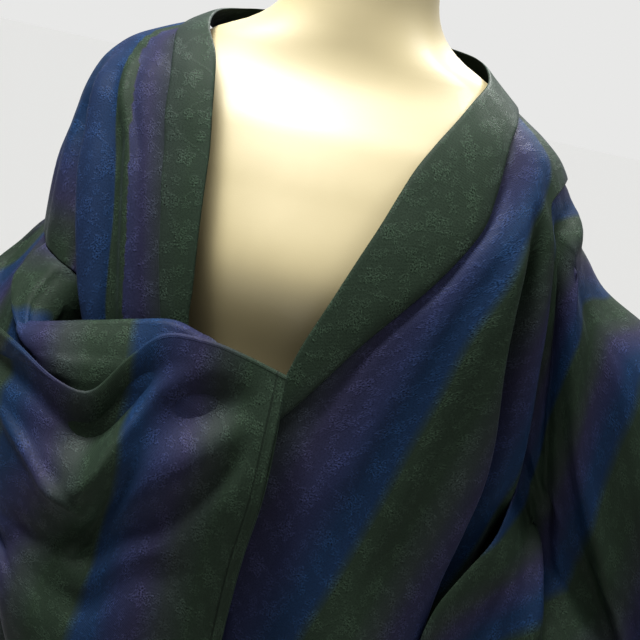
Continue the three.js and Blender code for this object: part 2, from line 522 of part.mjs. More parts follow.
// A sleeve's layer. Its rows run from the body to the cuff, one for each pair of points at
// the body, and its folds run down it, h, each at a share u of its width.
function sleeveLayer(pairs, topPlaces, bottomPlaces, cuffPlaces, folds, outward) {
  const near = column(pairs, 1);
  const lengths = near.map((point, j) => (j ? point.distanceTo(near[j - 1]) : 0));
  const total = lengths.reduce((sum, length) => sum + length);
  let soFar = 0;
  const shares = lengths.map((length) => (soFar += length) / total);
  const index = shares.map((_, j) => j);
  const top = smooth([near[0], ...toPoints(topPlaces)]);
  const bottom = smooth([near.at(-1), ...toPoints(bottomPlaces)]);
  const cuff = smooth([top.points.at(-1), ...toPoints(cuffPlaces), bottom.points.at(-1)]);
  const edge = smooth(near);
  const plain = (u, j) => {
    const h = through(index, shares, j);
    const start = edge.getPoint(j / (near.length - 1));
    const point = start.multiplyScalar(1 - u).addScaledVector(cuff.getPointAt(h), u);
    point.addScaledVector(top.getPointAt(u), 1 - h).addScaledVector(bottom.getPointAt(u), h);
    point.addScaledVector(near[0], (u - 1) * (1 - h)).addScaledVector(near.at(-1), (u - 1) * h);
    point.addScaledVector(cuff.points[0], -u * (1 - h));
    return point.addScaledVector(cuff.points.at(-1), -u * h);
  };
  return index.map((j) => LINES.sleeve.map((u) => {
    const h = shares[j];
    const cu = inside(u, 0, 1, MARGIN.u);
    const cj = inside(j, 0, near.length - 1, MARGIN.row);
    const across = plain(cu + MARGIN.u, cj).sub(plain(cu - MARGIN.u, cj));
    const down = plain(cu, cj + MARGIN.row).sub(plain(cu, cj - MARGIN.row));
    const out = across.cross(down).setLength(outward);
    let height = 0;
    for (const fold of folds) {
      const away = (u - through(fold.h, fold.u, h)) * SLEEVE_WIDTH;
      const fadeIn = ease(h, fold.h[0] - SLEEVE_FADE[0], fold.h[0] + SLEEVE_FADE[0]);
      const fadeOut = 1 - ease(h, fold.h.at(-1) - SLEEVE_FADE[1], fold.h.at(-1) + SLEEVE_FADE[1]);
      const width = away < 0 ? fold.near : fold.far;
      height += fold.height * fadeIn * fadeOut * Math.exp(-((away / width) ** 2));
    }
    const [start, end, foot] = SLEEVE_FLAT;
    const flat = ease(u, 0, start) * (1 - ease(u, end, 1)) * (1 - ease(h, foot, 1));
    return plain(u, j).addScaledVector(out, height * flat);
  })).map((row, j) => [pairs[j][0], ...row]);
}

// The points of a sleeve's loops, moved inwards by the cloth's thickness.
function insideOf(grid) {
  const count = grid[0].length;
  return grid.map((row, i) => row.map((point, j) => {
    const next = grid[Math.min(i + 1, grid.length - 1)][j];
    const along = next.clone().sub(grid[Math.max(i - 1, 0)][j]);
    const round = row[(j + 1) % count].clone().sub(row[(j + count - 1) % count]);
    return point.clone().addScaledVector(round.cross(along).setLength(CLOTH), -1);
  }));
}

// A sleeve from its rows in order round the loop.
function sleeveSolid(name, rows, material) {
  const loops = rows[0].map((_, i) => column(rows, i));
  return wall(name, loops, insideOf(loops), true, material);
}

function leftSleeve(material) {
  const rows = [...LEFT_COLLAR_ROWS, ...LEFT_BACK];
  const { top, frontOpening, backOpening, frontCuff, backCuff, frontBottom, backBottom } = LEFT_SLEEVE;
  const cuffEnd = place(...frontBottom.at(-1));
  const frontRows = rows.slice(0, RIDGE + 1);
  const frontSeam = frontRows.map((row, k) => seamPair(1, row, [OVER, BESIDE][k] ?? UNDER));
  const backRows = rows.slice(RIDGE, LEFT_TACK).reverse();
  const backSeam = backRows.map((row, k) => seamPair(1, row, [OVER, BESIDE][k] ?? UNDER));
  const front = sleeveLayer([...frontSeam.reverse(), ...freePairs(frontOpening, cuffEnd)],
    top, frontBottom, frontCuff, LEFT_SLEEVE_FOLDS, -1);
  const back = sleeveLayer([...backSeam.reverse(), ...freePairs(backOpening, cuffEnd)],
    top, backBottom, backCuff, [], 1);
  return sleeveSolid("sleeve_left", [...front, ...back.slice(1).reverse()], material);
}

function rightSleeve(material) {
  const rows = [...RIGHT_COLLAR_ROWS, ...RIGHT_BACK];
  const sleeve = RIGHT_SLEEVE;
  const backRows = rows.slice(RIDGE + 1, RIGHT_TACK).reverse();
  const backSeam = backRows.map((row, k) => seamPair(-1, row, [OVER, BESIDE][k] ?? UNDER));
  const frontRows = rows.slice(0, RIGHT_FRONT_END).reverse();
  const frontSeam = frontRows.map((row, k) => seamPair(-1, row, [BESIDE][k] ?? ACROSS));
  const outer = sleeveLayer(
    [...backSeam.reverse(), ...freePairs(sleeve.outerOpening, place(...sleeve.outerBottom[0]))],
    sleeve.outerLip, sleeve.outerBottom, sleeve.outerCuff, RIGHT_SLEEVE_FOLDS, 1);
  const inner = sleeveLayer(
    [...frontSeam, ...freePairs(sleeve.innerOpening, place(...sleeve.innerBottom[0]))],
    sleeve.innerLip, sleeve.innerBottom, sleeve.innerCuff, [], 1);
  const middle = smooth(toPoints(sleeve.trough));
  const topRows = rows.slice(RIGHT_FRONT_END, RIDGE + 1);
  const between = topRows.map((row) => seamPair(-1, row, UNDER));
  const fall = between.map(([under, past], k) => {
    const h = (k + 1) / (between.length + 1);
    const hang = (u, i) => inner[0][i].clone().multiplyScalar((1 - h) ** 2)
      .addScaledVector(middle.getPointAt(u), 2 * h * (1 - h)).addScaledVector(outer[0][i], h * h);
    const pull = past.clone().sub(hang(0, 1));
    const row = LINES.sleeve.map((u, i) => hang(u, i + 1).addScaledVector(pull, (1 - u) ** FALL_PULL));
    return [under, ...row];
  });
  return sleeveSolid("sleeve_right", [...outer, ...inner.reverse(), ...fall], material);
}

const cloth = (color) => new THREE.MeshStandardMaterial({ color, roughness: 0.55, metalness: 0 });
const cream = new THREE.MeshStandardMaterial({ color: 0xece0c0, roughness: 0.4, metalness: 0 });
const metal = new THREE.MeshStandardMaterial({ color: 0xb9b9b6, roughness: 0.35, metalness: 0.9 });

function dressForm() {
  const heights = [];
  for (let k = 1; k < FORM.length; k += 1) {
    const steps = Math.ceil((FORM[k].z - FORM[k - 1].z) / FORM_STEP);
    for (let s = 0; s < steps; s += 1) heights.push(blend(FORM[k - 1].z, FORM[k].z, s / steps));
  }
  heights.push(FORM.at(-1).z);
  const corners = [];
  for (const z of heights) {
    for (let k = 0; k < FORM_SIDES; k += 1) {
      const turn = (2 * Math.PI * k) / FORM_SIDES;
      const depth = ringSize(FORM, Math.cos(turn) > 0 ? "front" : "back", z);
      corners.push(place(ringSize(FORM, "side", z) * Math.sin(turn), -depth * Math.cos(turn), z));
    }
  }
  const bottom = corners.push(place(0, 0, heights[0])) - 1;
  const top = corners.push(place(0, 0, heights.at(-1))) - 1;
  const faces = [];
  for (let k = 0; k < FORM_SIDES; k += 1) {
    const next = (k + 1) % FORM_SIDES;
    const high = (heights.length - 1) * FORM_SIDES;
    faces.push(bottom, next, k, top, high + k, high + next);
    for (let i = 0; i < heights.length - 1; i += 1) {
      const row = i * FORM_SIDES;
      const up = row + FORM_SIDES;
      faces.push(row + k, row + next, up + next, row + k, up + next, up + k);
    }
  }
  return solid("dress_form", corners, faces, cream);
}

function stand() {
  const poleTop = FORM[0].z - JOINT_GAP;
  const poleFoot = BASE_HEIGHT + JOINT_GAP;
  const cylinder = new THREE.CylinderGeometry(POLE_RADIUS, POLE_RADIUS, poleTop - poleFoot, POLE_SIDES);
  const pole = new THREE.Mesh(cylinder, metal);
  pole.name = "pole";
  pole.rotation.x = Math.PI / 2;
  pole.position.z = (poleTop + poleFoot) / 2;
  const profile = BASE_PROFILE.map(([r, z]) => new THREE.Vector2(r, z));
  const base = new THREE.Mesh(new THREE.LatheGeometry(profile, BASE_SIDES), metal);
  base.name = "base";
  base.rotation.x = Math.PI / 2;
  return [pole, base];
}

const coat = new THREE.Group();
coat.add(
  bodyPanel("body_left", 1, LEFT_SKIRT, LEFT_COLLAR_ROWS, LEFT_BACK, cloth(0x1f3a3c)),
  bodyPanel("body_right", -1, RIGHT_SKIRT, RIGHT_COLLAR_ROWS, RIGHT_BACK, cloth(0x27345a)),
  overlapPanel("okumi_left", 1, LEFT_SKIRT, LEFT_COLLAR_ROWS[0], cloth(0x2a2f4e)),
  overlapPanel("okumi_right", -1, RIGHT_SKIRT, RIGHT_COLLAR_ROWS[0], cloth(0x1c2f2a)),
  collarBand(cloth(0x2f3f33)),
  leftSleeve(cloth(0x223a56)),
  rightSleeve(cloth(0x2b3566)),
  dressForm(),
  ...stand(),
);

export default coat;
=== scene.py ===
"""A kimono coat of shaded-stripe silk on a smooth limbless dress form, dressed over the CAD frame.

Lengths in the tables are millimetres and angles are degrees; meshes are made in metres. The
coat hangs on rings: at each height, a rounded oval with its own half widths and depths. A place
on it is an angle round the body, from the front centre with the wearer's left positive, and a
height. Every cloth piece is a numpy grid over that surface, with folds raised along its normal.
"""

from __future__ import annotations

import logging
from dataclasses import dataclass
from enum import Enum
from typing import Iterable, Sequence

import bpy
import numpy as np
from mathutils import Matrix, Vector

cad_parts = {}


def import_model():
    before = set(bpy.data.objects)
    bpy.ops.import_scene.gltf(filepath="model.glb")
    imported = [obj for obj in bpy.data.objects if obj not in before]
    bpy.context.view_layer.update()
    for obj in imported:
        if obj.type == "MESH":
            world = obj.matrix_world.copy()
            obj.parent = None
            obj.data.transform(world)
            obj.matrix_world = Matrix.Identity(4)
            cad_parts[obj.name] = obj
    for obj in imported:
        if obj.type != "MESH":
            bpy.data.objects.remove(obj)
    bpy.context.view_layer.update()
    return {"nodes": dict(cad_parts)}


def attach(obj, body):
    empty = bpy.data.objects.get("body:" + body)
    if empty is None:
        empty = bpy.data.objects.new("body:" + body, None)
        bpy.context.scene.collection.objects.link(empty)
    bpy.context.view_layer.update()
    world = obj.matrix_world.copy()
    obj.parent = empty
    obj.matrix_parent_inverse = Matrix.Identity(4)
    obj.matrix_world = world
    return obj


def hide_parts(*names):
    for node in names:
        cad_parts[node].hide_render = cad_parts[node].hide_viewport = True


LOG = logging.getLogger("kimono_coat")

Points = Sequence[Sequence[float]]
Colour = tuple[int, int, int]

METRE = 0.001  # metres in a millimetre
CLOTH = 1.8  # thickness of the panels and sleeves
BAND = 2.2  # thickness of the collar, folded double
CLEAR = 0.5  # gap from the rings to the body's cloth
LAYER = 1.2  # gap from one layer of cloth to the next
UNDER_DROP = 6.0  # how far the under front sinks where the fronts cross
HIDDEN_DROP = 7.0  # how far it sinks further on, where the upper front hides it
HIDDEN_ANGLE = (3, 16)  # that sinking starts and is complete, past the front centre
CROSSED_ANGLE = (45, 62)  # the crossing's sinking starts to end and has ended, round the side
CROSSED_Z = (1055, 1120)  # the same, going up
FOLD_START = (2, 8)  # folds start and are complete, away from the front centre
CENTRE_BACK = 179.985  # both back panels' edge at the centre-back seam
TUCK = 5.0  # how far an edge runs on under the next piece
SEAM_STRIP = 7.0  # width of a sleeve's first strip beside the body
ROUND = 0.8  # the rings' exponent: 1 gives ellipses, less gives rounder corners
SLEEVE_WIDTH = 340.0
CUFF_HEM = 5.0  # width of the cuff's turned edge
HEM_SHADE_LINE = 7.0  # distance from the coat's edge to its hem line: a groove in the relief, darkened with painted shade
STRIPE = 125.0  # width of one repeat of the stripes
FRONT_REPEAT = 43.8  # degrees that a repeat takes on the fronts
BACK_REPEAT = 45  # degrees that it takes on the back
RIDGE = 13  # the collar table's row on top of the shoulder
LEFT_TACK = 23  # body row after the last that the left sleeve's back is sewn to
RIGHT_TACK = 24  # the same for the right sleeve's back
RIGHT_FRONT_END = 10  # rows that the right sleeve's inner face is sewn to, from the front
OPEN_SPANS = 7  # rows of a sleeve's open edge, in rows of the body


class Side(Enum):
    """The wearer's side that a panel belongs to."""

    LEFT = 1
    RIGHT = -1


class Table:
    """Rows of numbers with named columns."""

    def __init__(self, names: str, rows: Points) -> None:
        """Keeps the rows as one array.

        Args:
            names: the column names, parted by spaces.
            rows: one row of numbers for each line; short rows end in nan.
        """
        self.names = names.split()
        width = len(self.names)
        filled = [list(row) + [np.nan] * (width - len(row)) for row in rows]
        self.rows = np.array(filled, float).reshape(-1, width)

    def __getitem__(self, name: str) -> np.ndarray:
        """One column by its name."""
        return self.rows[:, self.names.index(name)]

    def columns(self, names: str) -> np.ndarray:
        """Several columns side by side, nan for each that the table lacks."""
        none = np.full(len(self.rows), np.nan)
        return np.stack([self[n] if n in self.names else none for n in names.split()], 1)

    def cut(self, start: int, end: int, step: int = 1) -> Table:
        """The rows from start to end as a table of their own, backwards with step -1."""
        return Table(" ".join(self.names), self.rows[start:end][::step])

    def at(self, name: str, place: np.ndarray | float) -> np.ndarray:
        """A column's smooth curve over the table's first column, read at these places."""
        return through(self.rows[:, 0], self[name], place)


def joined(names: str, *tables: Table) -> Table:
    """These columns of several tables, one table's rows after another's."""
    return Table(names, np.vstack([table.columns(names) for table in tables]))


def from_seam(rows: Points) -> Table:
    """Rows of a back panel, given as innerZ, outerZ and outer, that start at the centre back."""
    return Table(PANEL, [(start_z, CENTRE_BACK, end_z, end) for start_z, end_z, end in rows])


COAT = Table("z left right front back", [
    (430, 205, 205, 150, 142), (600, 200, 200, 146, 138), (800, 180, 190, 140, 132),
    (900, 172, 190, 137, 128), (960, 180, 196, 135, 124), (1000, 190, 200, 134, 121),
    (1050, 200, 203, 132, 117), (1150, 201, 206, 127, 112), (1200, 200, 206, 119, 111),
    (1230, 197, 201, 110, 112), (1256, 186, 197, 101, 113), (1279, 172, 189, 90, 112),
    (1293, 155, 179, 80, 109), (1304, 137, 166, 73, 104), (1314, 122, 146, 66, 98),
    (1325, 108, 121, 58, 89), (1334, 99, 106, 52, 80),
])
FORM = Table("z side front back", [
    (770, 150, 92, 96), (850, 160, 104, 108), (930, 156, 104, 106), (1010, 136, 92, 88),
    (1090, 142, 102, 92), (1160, 152, 113, 97), (1222, 163, 96, 98), (1262, 163, 80, 94),
    (1280, 158, 70, 88), (1293, 149.5, 63, 80), (1304, 135.6, 58, 74), (1314, 121.6, 55, 69),
    (1325, 107.5, 53, 64), (1337, 84, 52, 60), (1350, 68, 51, 56), (1368, 58, 50, 53),
    (1395, 54, 50, 51), (1430, 53, 50, 51),
])
PANEL = "innerZ inner outerZ outer"
SKIRT = "innerZ inner outerZ outer seam free"
LEFT_SKIRT = Table(SKIRT, [
    (430, 7.9, 430, 92.95, -20.9, -34.5), (600, 5.4, 600, 91.95, -22.3, -36.9),
    (800, 2.6, 800, 90.95, -23.8, -40.7), (855, 1.9, 855, 90.45, -22.5, -38.5),
    (905, 1.2, 905, 89.95, -18.2, -32.3), (955, 0.7, 950, 87, -11.9, -22.3),
    (1000, 0.4, 990, 82, -5.4, -12.8),
])
RIGHT_SKIRT = Table(SKIRT, [
    (430, 9.9, 430, 92.95, -20, -35), (600, 9.5, 600, 91.95, -21, -36),
    (800, 9.5, 800, 88.95, -22, -38), (870, 9.7, 870, 78.95, -18, -32),
    (915, 9.9, 905, 68, -10, -23), (960, 10.2, 935, 60, -1, -12.5),
    (1002, 10.8, 965, 53.5, 7, -2.5),
])
COLLAR_ROWS = "innerZ inner outerZ outer freeZ free freeX freeY"
NONE = np.nan  # no angle: the free edge is a point of its own
LEFT_COLLAR = Table(COLLAR_ROWS, [
    (1043, 0, 1030, 76, 1050, -3.3), (1064, 2.3, 1055, 74.3, 1078, 0.4),
    (1080, 4.7, 1072, 73, 1094, 1.9), (1100, 7.8, 1090, 71.5, 1118, 3.2),
    (1128, 12.6, 1115, 69.5, 1152, 5.9), (1157, 19, 1145, 67, 1186, 8.9),
    (1179, 24.3, 1168, 65, 1212, 11.5), (1202, 29.5, 1190, 63, 1234, 13.8),
    (1226, 34.4, 1212, 61, 1255, 17), (1250, 38.2, 1232, 59.5, 1275, 22),
    (1270, 42, 1245, 60, 1293, 30.5), (1285, 47.5, 1254, 63, 1308, 44),
    (1299, 62, 1263, 74, 1322, 66), (1309, 90, 1270, 90, 1333, 90),
    (1310, 108, 1266, 100, 1341, NONE, 94, 38), (1308, 128, 1256, 109, 1344, NONE, 79, 60),
    (1303, 146, 1240, 115, 1346, NONE, 57, 76), (1296, 163, 1215, 116.5, 1347, NONE, 30, 85),
    (1291, CENTRE_BACK, 1185, 116, 1347, NONE, 0, 88),
])
RIGHT_COLLAR = Table(COLLAR_ROWS, [
    (1035, 12.5, 990, 50, 1047, 5.5), (1060, 15, 1012, 47.5, 1070, 9.5),
    (1085, 17, 1035, 46, 1095, 12.3), (1113, 18.9, 1065, 44.5, 1120, 13.6),
    (1136, 20.6, 1095, 44.5, 1142, 14), (1160, 22.3, 1117, 46.5, 1165, 14.7),
    (1182, 23.6, 1128, 51, 1187, 15.4), (1207, 25.6, 1133, 57, 1212, 16.4),
    (1231, 27.9, 1138, 64, 1237, 17.8), (1256, 31, 1142, 70, 1262, 20),
    (1280, 34.6, 1146, 75, 1284, 23), (1297, 40.5, 1149, 80, 1303, 29),
    (1313, 56, 1153, 85, 1321, 51), (1324, 90, 1157, 90, 1333, 90),
    (1322, 108, 1152, 90.1, 1341, NONE, 96, 38), (1316, 128, 1140, 89.4, 1344, NONE, 80, 60),
    (1308, 146, 1128, 87.4, 1346, NONE, 57, 76), (1298, 163, 1114, 84.5, 1347, NONE, 30, 85),
    (1291, CENTRE_BACK, 1098, 81.5, 1347, NONE, 0, 88),
])
LEFT_BACK = from_seam([
    (1262, 1150, 114.5), (1215, 1112, 112.5), (1150, 1072, 110.5), (1080, 1032, 107),
    (985, 975, 98), (905, 905, 90.05), (800, 800, 91.05), (600, 600, 92.05), (430, 430, 93.05),
])
RIGHT_BACK = from_seam([
    (1262, 1080, 78.5), (1225, 1058, 75), (1175, 1034, 70.5), (1110, 1010, 65.5),
    (1050, 990, 61), (985, 962, 63), (930, 925, 68), (870, 870, 79.05), (800, 800, 89.05),
    (600, 600, 92.05), (430, 430, 93.05),
])
LEFT_CHANGE = Table("z angle", [
    (430, 7), (600, 8), (800, 11), (904, 14.8), (949, 18.6), (1002, 22.3), (1059, 26.2),
    (1102, 30.2), (1144, 34.3), (1184, 40.1), (1231, 47.3), (1281, 67.6), (1310, 80),
])
RIGHT_SEAM = Table("z angle", [
    (430, 12), (900, 13), (1060, 16.5), (1126, 20.1), (1154, 21.9), (1182, 23.7),
    (1210, 25.5), (1238, 27.9), (1266, 30.9), (1294, 38.2), (1312, 52),
])
RIGHT_PLEAT = Table("z angle", [
    (430, 26), (900, 25), (1060, 25), (1119, 28.3), (1148, 29.9), (1176, 31.6), (1204, 34.2),
    (1231, 38.2), (1259, 42.6), (1288, 50.3), (1312, 64),
])
RIGHT_SIDE = Table("z repeat", [
    (1060, -1.8), (1140, -1.7), (1165, -1.5), (1190, -1.3), (1230, -1.08), (1260, -1.05),
])


@dataclass(frozen=True)
class Fold:
    """A ridge of the cloth, or a groove where the height is below 0.

    On the body, along is a list of heights and across the angles there. On a sleeve, along is
    the share down it and across the share of its width, or the other way about on a level fold.
    """

    along: tuple[float, ...]
    across: tuple[float, ...]
    near: float
    far: float
    height: float
    fade: float
    level: bool = False


LEFT_FOLDS = (
    Fold((760, 935, 1058, 1142, 1223), (60, 51, 50.5, 47, 47), 26, 9, 9, 60),
    Fold((740, 935, 1058, 1142, 1223), (70, 60, 57.5, 53, 52), 8, 9, -15, 60),
    Fold((1000, 1088, 1182, 1240), (76, 67, 59.5, 56), 9, 9, 4, 40),
    Fold((1010, 1105, 1198, 1277), (14, 22.7, 35.3, 60), 16, 9, 2.5, 60),
    Fold((430, 600, 800, 940), (46, 42, 35, 30), 30, 24, 11, 120),
    Fold((430, 600, 800), (66, 63, 62), 22, 22, -9, 90),
    Fold((430, 700, 1000, 1150), (152, 150, 148, 145), 26, 22, 8, 160),
    Fold((430, 700, 950), (130, 128, 122), 24, 24, -8, 160),
)
RIGHT_FOLDS = (
    Fold((1060, 1133, 1217, 1287), (25, 29.7, 36.8, 52.6), 15, 5, 4.5, 45),
    Fold((1060, 1120, 1180, 1245, 1275), (33, 41, 48, 56, 62), 20, 5, 9, 40),
    Fold((1060, 1120, 1180, 1245), (38, 46.5, 54, 63), 7, 8, -13, 50),
    Fold((430, 600, 800, 920), (40, 44, 50, 54), 28, 24, 10, 120),
    Fold((430, 600, 780), (64, 66, 70), 22, 20, -8, 90),
    Fold((430, 700, 1000, 1120), (118, 122, 128, 132), 26, 24, 9, 160),
    Fold((430, 700, 950), (146, 148, 150), 24, 24, -7, 160),
)
LEFT_CREASES = (
    Fold((1060, 1130, 1180, 1230, 1262), (7, 15.5, 26.5, 36.5, 43), 8, 5, -2.4, 40),
    Fold((960, 1080, 1180, 1262), (26, 34, 42, 55), 14, 10, 2.2, 70),
    Fold((900, 1000, 1100), (30, 38, 44), 16, 12, -1.3, 60),
    Fold((880, 960, 1040), (16, 12, 10), 12, 10, 1.0, 50),
    Fold((1150, 1200, 1240), (44, 46, 49), 6, 6, 1.2, 30),
    Fold((430, 640, 860), (24, 22, 20), 16, 16, -4, 120),
    Fold((430, 560, 700), (82, 80, 78), 13, 13, 4, 90),
    Fold((430, 620, 840), (107, 106, 104), 18, 16, 6, 120),
    Fold((430, 760, 1060), (141, 140, 136), 9, 9, 2.5, 140),
    Fold((520, 800, 1040), (167, 168, 170), 12, 12, 3, 120),
    Fold((1080, 1180, 1262), (132, 128, 124), 12, 12, 1.6, 60),
)
RIGHT_CREASES = (
    Fold((1060, 1133, 1217, 1287), (21, 26.5, 34, 49), 6, 3, -2.6, 45),
    Fold((1070, 1160, 1240), (30.5, 35.5, 43), 7, 4, -3.0, 45),
    Fold((1080, 1150, 1230), (34.5, 40, 49), 6, 6, 1.5, 45),
    Fold((1130, 1190, 1236), (62, 65, 70), 8, 8, 2.0, 40),
    Fold((1170, 1210, 1250), (71, 73, 76), 6, 6, -2.5, 30),
    Fold((430, 640, 880), (25, 27, 30), 15, 15, -3.5, 120),
    Fold((430, 560, 700), (82, 82, 84), 13, 13, 4, 90),
    Fold((430, 640, 860), (103, 103, 104), 16, 16, -5, 120),
    Fold((430, 760, 1040), (134, 136, 140), 9, 9, -2.5, 140),
    Fold((560, 820, 1080), (160, 162, 166), 12, 12, 3, 120),
    Fold((1060, 1160, 1250), (112, 116, 124), 13, 12, 2.2, 60),
)


@dataclass(frozen=True)
class Edge:
    """How a sleeve's edge lies at the body's edge: its reach past it, its height and its rise."""

    reach: float
    lift: float
    rise: float


UNDER = Edge(-TUCK, CLEAR - 1.5 * LAYER, 0)
BESIDE = Edge(1, CLEAR - 1.5 * LAYER, 0)
OVER = Edge(1, CLEAR + 2 * CLOTH + LAYER, 0)
ACROSS = Edge(1, CLEAR + CLOTH + LAYER / 3, 6)

LEFT_TOP = [(187, 3, 1256), (197, 5, 1230), (214, 5, 1209), (231, 5, 1191), (263, 5, 1174),
            (320, 0, 1145), (390, -5, 1108), (440, -8, 1080)]
LEFT_FRONT_OPENING = [(189, -84, 1000), (172, -98, 972), (157, -105, 942), (151, -107, 905),
                      (153, -109, 855), (158, -107, 790)]
LEFT_BACK_OPENING = [(189.5, 25, 982), (184.3, 19, 954), (179.3, -12, 912), (173, -66, 850),
                     (161, -101, 789)]
LEFT_FRONT_CUFF = [(438, -24, 1000), (428, -22, 900), (418, -16, 800), (408, -13, 700)]
LEFT_BACK_CUFF = [(442, 8, 1000), (434, 10, 900), (420, -6, 800), (409, -6, 700)]
LEFT_FRONT_BOTTOM = [(200, -88, 752), (270, -63, 702), (340, -36, 645), (398, -13, 597)]
LEFT_BACK_BOTTOM = [(200, -82, 752), (270, -57, 702), (340, -30, 645), (398, -7, 597)]
LEFT_SLEEVE_FOLDS = (
    Fold((0.03, 0.2, 0.4, 0.6), (0.03, 0.07, 0.15, 0.3), 9, 11, -8, 0.05),
    Fold((0.03, 0.15, 0.3, 0.42, 0.55), (0.07, 0.13, 0.24, 0.4, 0.6), 12, 26, 12, 0.05),
    Fold((0.5, 0.6, 0.8), (0.1, 0.2, 0.38), 12, 16, 10, 0.05),
    Fold((0.3, 0.6, 0.85), (0.55, 0.62, 0.66), 26, 26, -9, 0.05),
    Fold((0.45, 0.6, 0.75), (0.13, 0.28, 0.47), 9, 9, -5, 0.05),
    Fold((0.1, 0.3, 0.5), (0.3, 0.5, 0.75), 16, 16, 3, 0.05),
    Fold((0.62, 0.75, 0.9), (0.08, 0.14, 0.2), 10, 10, -4, 0.05),
    Fold((0.2, 0.45, 0.7), (0.75, 0.8, 0.84), 18, 18, 4, 0.05),
    Fold((0.14, 0.22, 0.3, 0.4, 0.52), (0.5, 0.51, 0.53, 0.58, 0.66), 20, 20, 5, 0.07, True),
    Fold((0.2, 0.3, 0.4, 0.55), (0.41, 0.43, 0.47, 0.55), 20, 20, -4, 0.07, True),
)
LEFT_SLEEVE_BACK_FOLDS = (
    Fold((0.05, 0.3, 0.6, 0.8), (0.2, 0.28, 0.4, 0.46), 18, 18, 5, 0.06),
    Fold((0.2, 0.5, 0.8), (0.5, 0.6, 0.66), 20, 20, -4, 0.06),
    Fold((0.4, 0.6, 0.85), (0.16, 0.24, 0.34), 12, 14, -4, 0.06),
)
RIGHT_OUTER_LIP = [(-216, -8, 1141), (-227, -14, 1127), (-241, -32, 1107), (-236, -78, 1092),
                   (-210, -118, 1084), (-178, -146, 1076), (-142, -164, 1062), (-117, -167, 1060),
                   (-96, -164, 1088), (-74, -161, 1111), (-42, -162, 1114), (-17, -161, 1110),
                   (16, -157, 1101)]
RIGHT_INNER_LIP = [(-206, -72, 1114), (-186, -112, 1088), (-160, -131, 1094),
                   (-128, -136, 1104), (-98, -142, 1113), (-71, -148, 1119), (-44, -149, 1112),
                   (14, -147, 1098)]
RIGHT_TROUGH = [(-204, -16, 1130), (-222, -52, 1060), (-212, -92, 1030), (-186, -130, 1034),
                (-150, -150, 1040), (-118, -152, 1042), (-96, -151, 1062), (-74, -152, 1086),
                (-42, -154, 1096), (15, -152, 1086)]
RIGHT_OUTER_OPENING = [(-165, -120, 976), (-154, -137, 955), (-146, -142, 930),
                       (-120, -150, 858), (-104, -160, 760), (-98, -165, 676)]
RIGHT_INNER_OPENING = [(-172, -104, 972), (-186, -104, 935), (-193, -106, 870),
                       (-180, -118, 790), (-140, -148, 690)]
RIGHT_OUTER_CUFF = [(17, -170, 1050), (17, -174, 1009), (12, -170, 960), (10, -165, 900),
                    (8, -164, 760)]
RIGHT_INNER_CUFF = [(17, -151, 1050), (17, -154, 1009), (12, -156, 960), (10, -158, 900),
                    (8, -158.5, 760)]
RIGHT_OUTER_BOTTOM = [(-60, -169, 650), (-20, -167, 634), (6, -164, 626)]
RIGHT_INNER_BOTTOM = [(-80, -157, 655), (-20, -158, 634), (6, -158.5, 626)]
RIGHT_SLEEVE_FOLDS = (
    Fold((0.02, 0.08, 0.14), (0.72, 0.62, 0.5), 34, 34, 9, 0.05),
    Fold((0.08, 0.16, 0.24, 0.3), (0.9, 0.8, 0.66, 0.5), 24, 24, 9, 0.05),
    Fold((0.04, 0.12, 0.2), (0.86, 0.72, 0.55), 18, 18, -7, 0.05),
    Fold((0.3, 0.36, 0.42), (0.48, 0.38, 0.3), 12, 12, 3, 0.05),
    Fold((0.16, 0.26, 0.4), (0.2, 0.3, 0.4), 10, 10, 3, 0.05),
    Fold((0.4, 0.6, 0.85), (0.34, 0.3, 0.28), 20, 20, -3, 0.06),
    Fold((0.45, 0.65, 0.9), (0.7, 0.66, 0.64), 26, 26, 3, 0.06),
    Fold((0.3, 0.45, 0.56, 0.64, 0.72, 0.8, 0.88, 0.94),
         (0.05, 0.05, 0.045, 0.055, 0.075, 0.09, 0.075, 0.05), 30, 22, 9.5, 0.06, True),
    Fold((0.62, 0.7, 0.8, 0.88, 0.95), (0.14, 0.165, 0.185, 0.15, 0.1), 18, 22, -5, 0.06, True),
    Fold((0.58, 0.7, 0.8, 0.876, 0.96), (0.24, 0.285, 0.29, 0.235, 0.13), 24, 16, 9, 0.05, True),
    Fold((0.6, 0.68, 0.78, 0.88), (0.355, 0.37, 0.365, 0.35), 12, 16, 4, 0.05, True),
    Fold((0.42, 0.52, 0.58, 0.65), (0.13, 0.16, 0.18, 0.21), 6, 9, -6, 0.04, True),
)


@dataclass(frozen=True)
class SleeveFace:
    """The lines round one face of a sleeve, its folds and the way its normal points.

    Opening carries the body's edge on below the seam, and towards is the point of the cuff that
    it faces. The folds grow from nothing over the first share soft_top of the way down.
    """

    opening: Points
    towards: Sequence[float]
    top: Points
    bottom: Points
    cuff: Points
    folds: tuple[Fold, ...] = ()
    outward: int = 1
    soft_top: float = 0.07


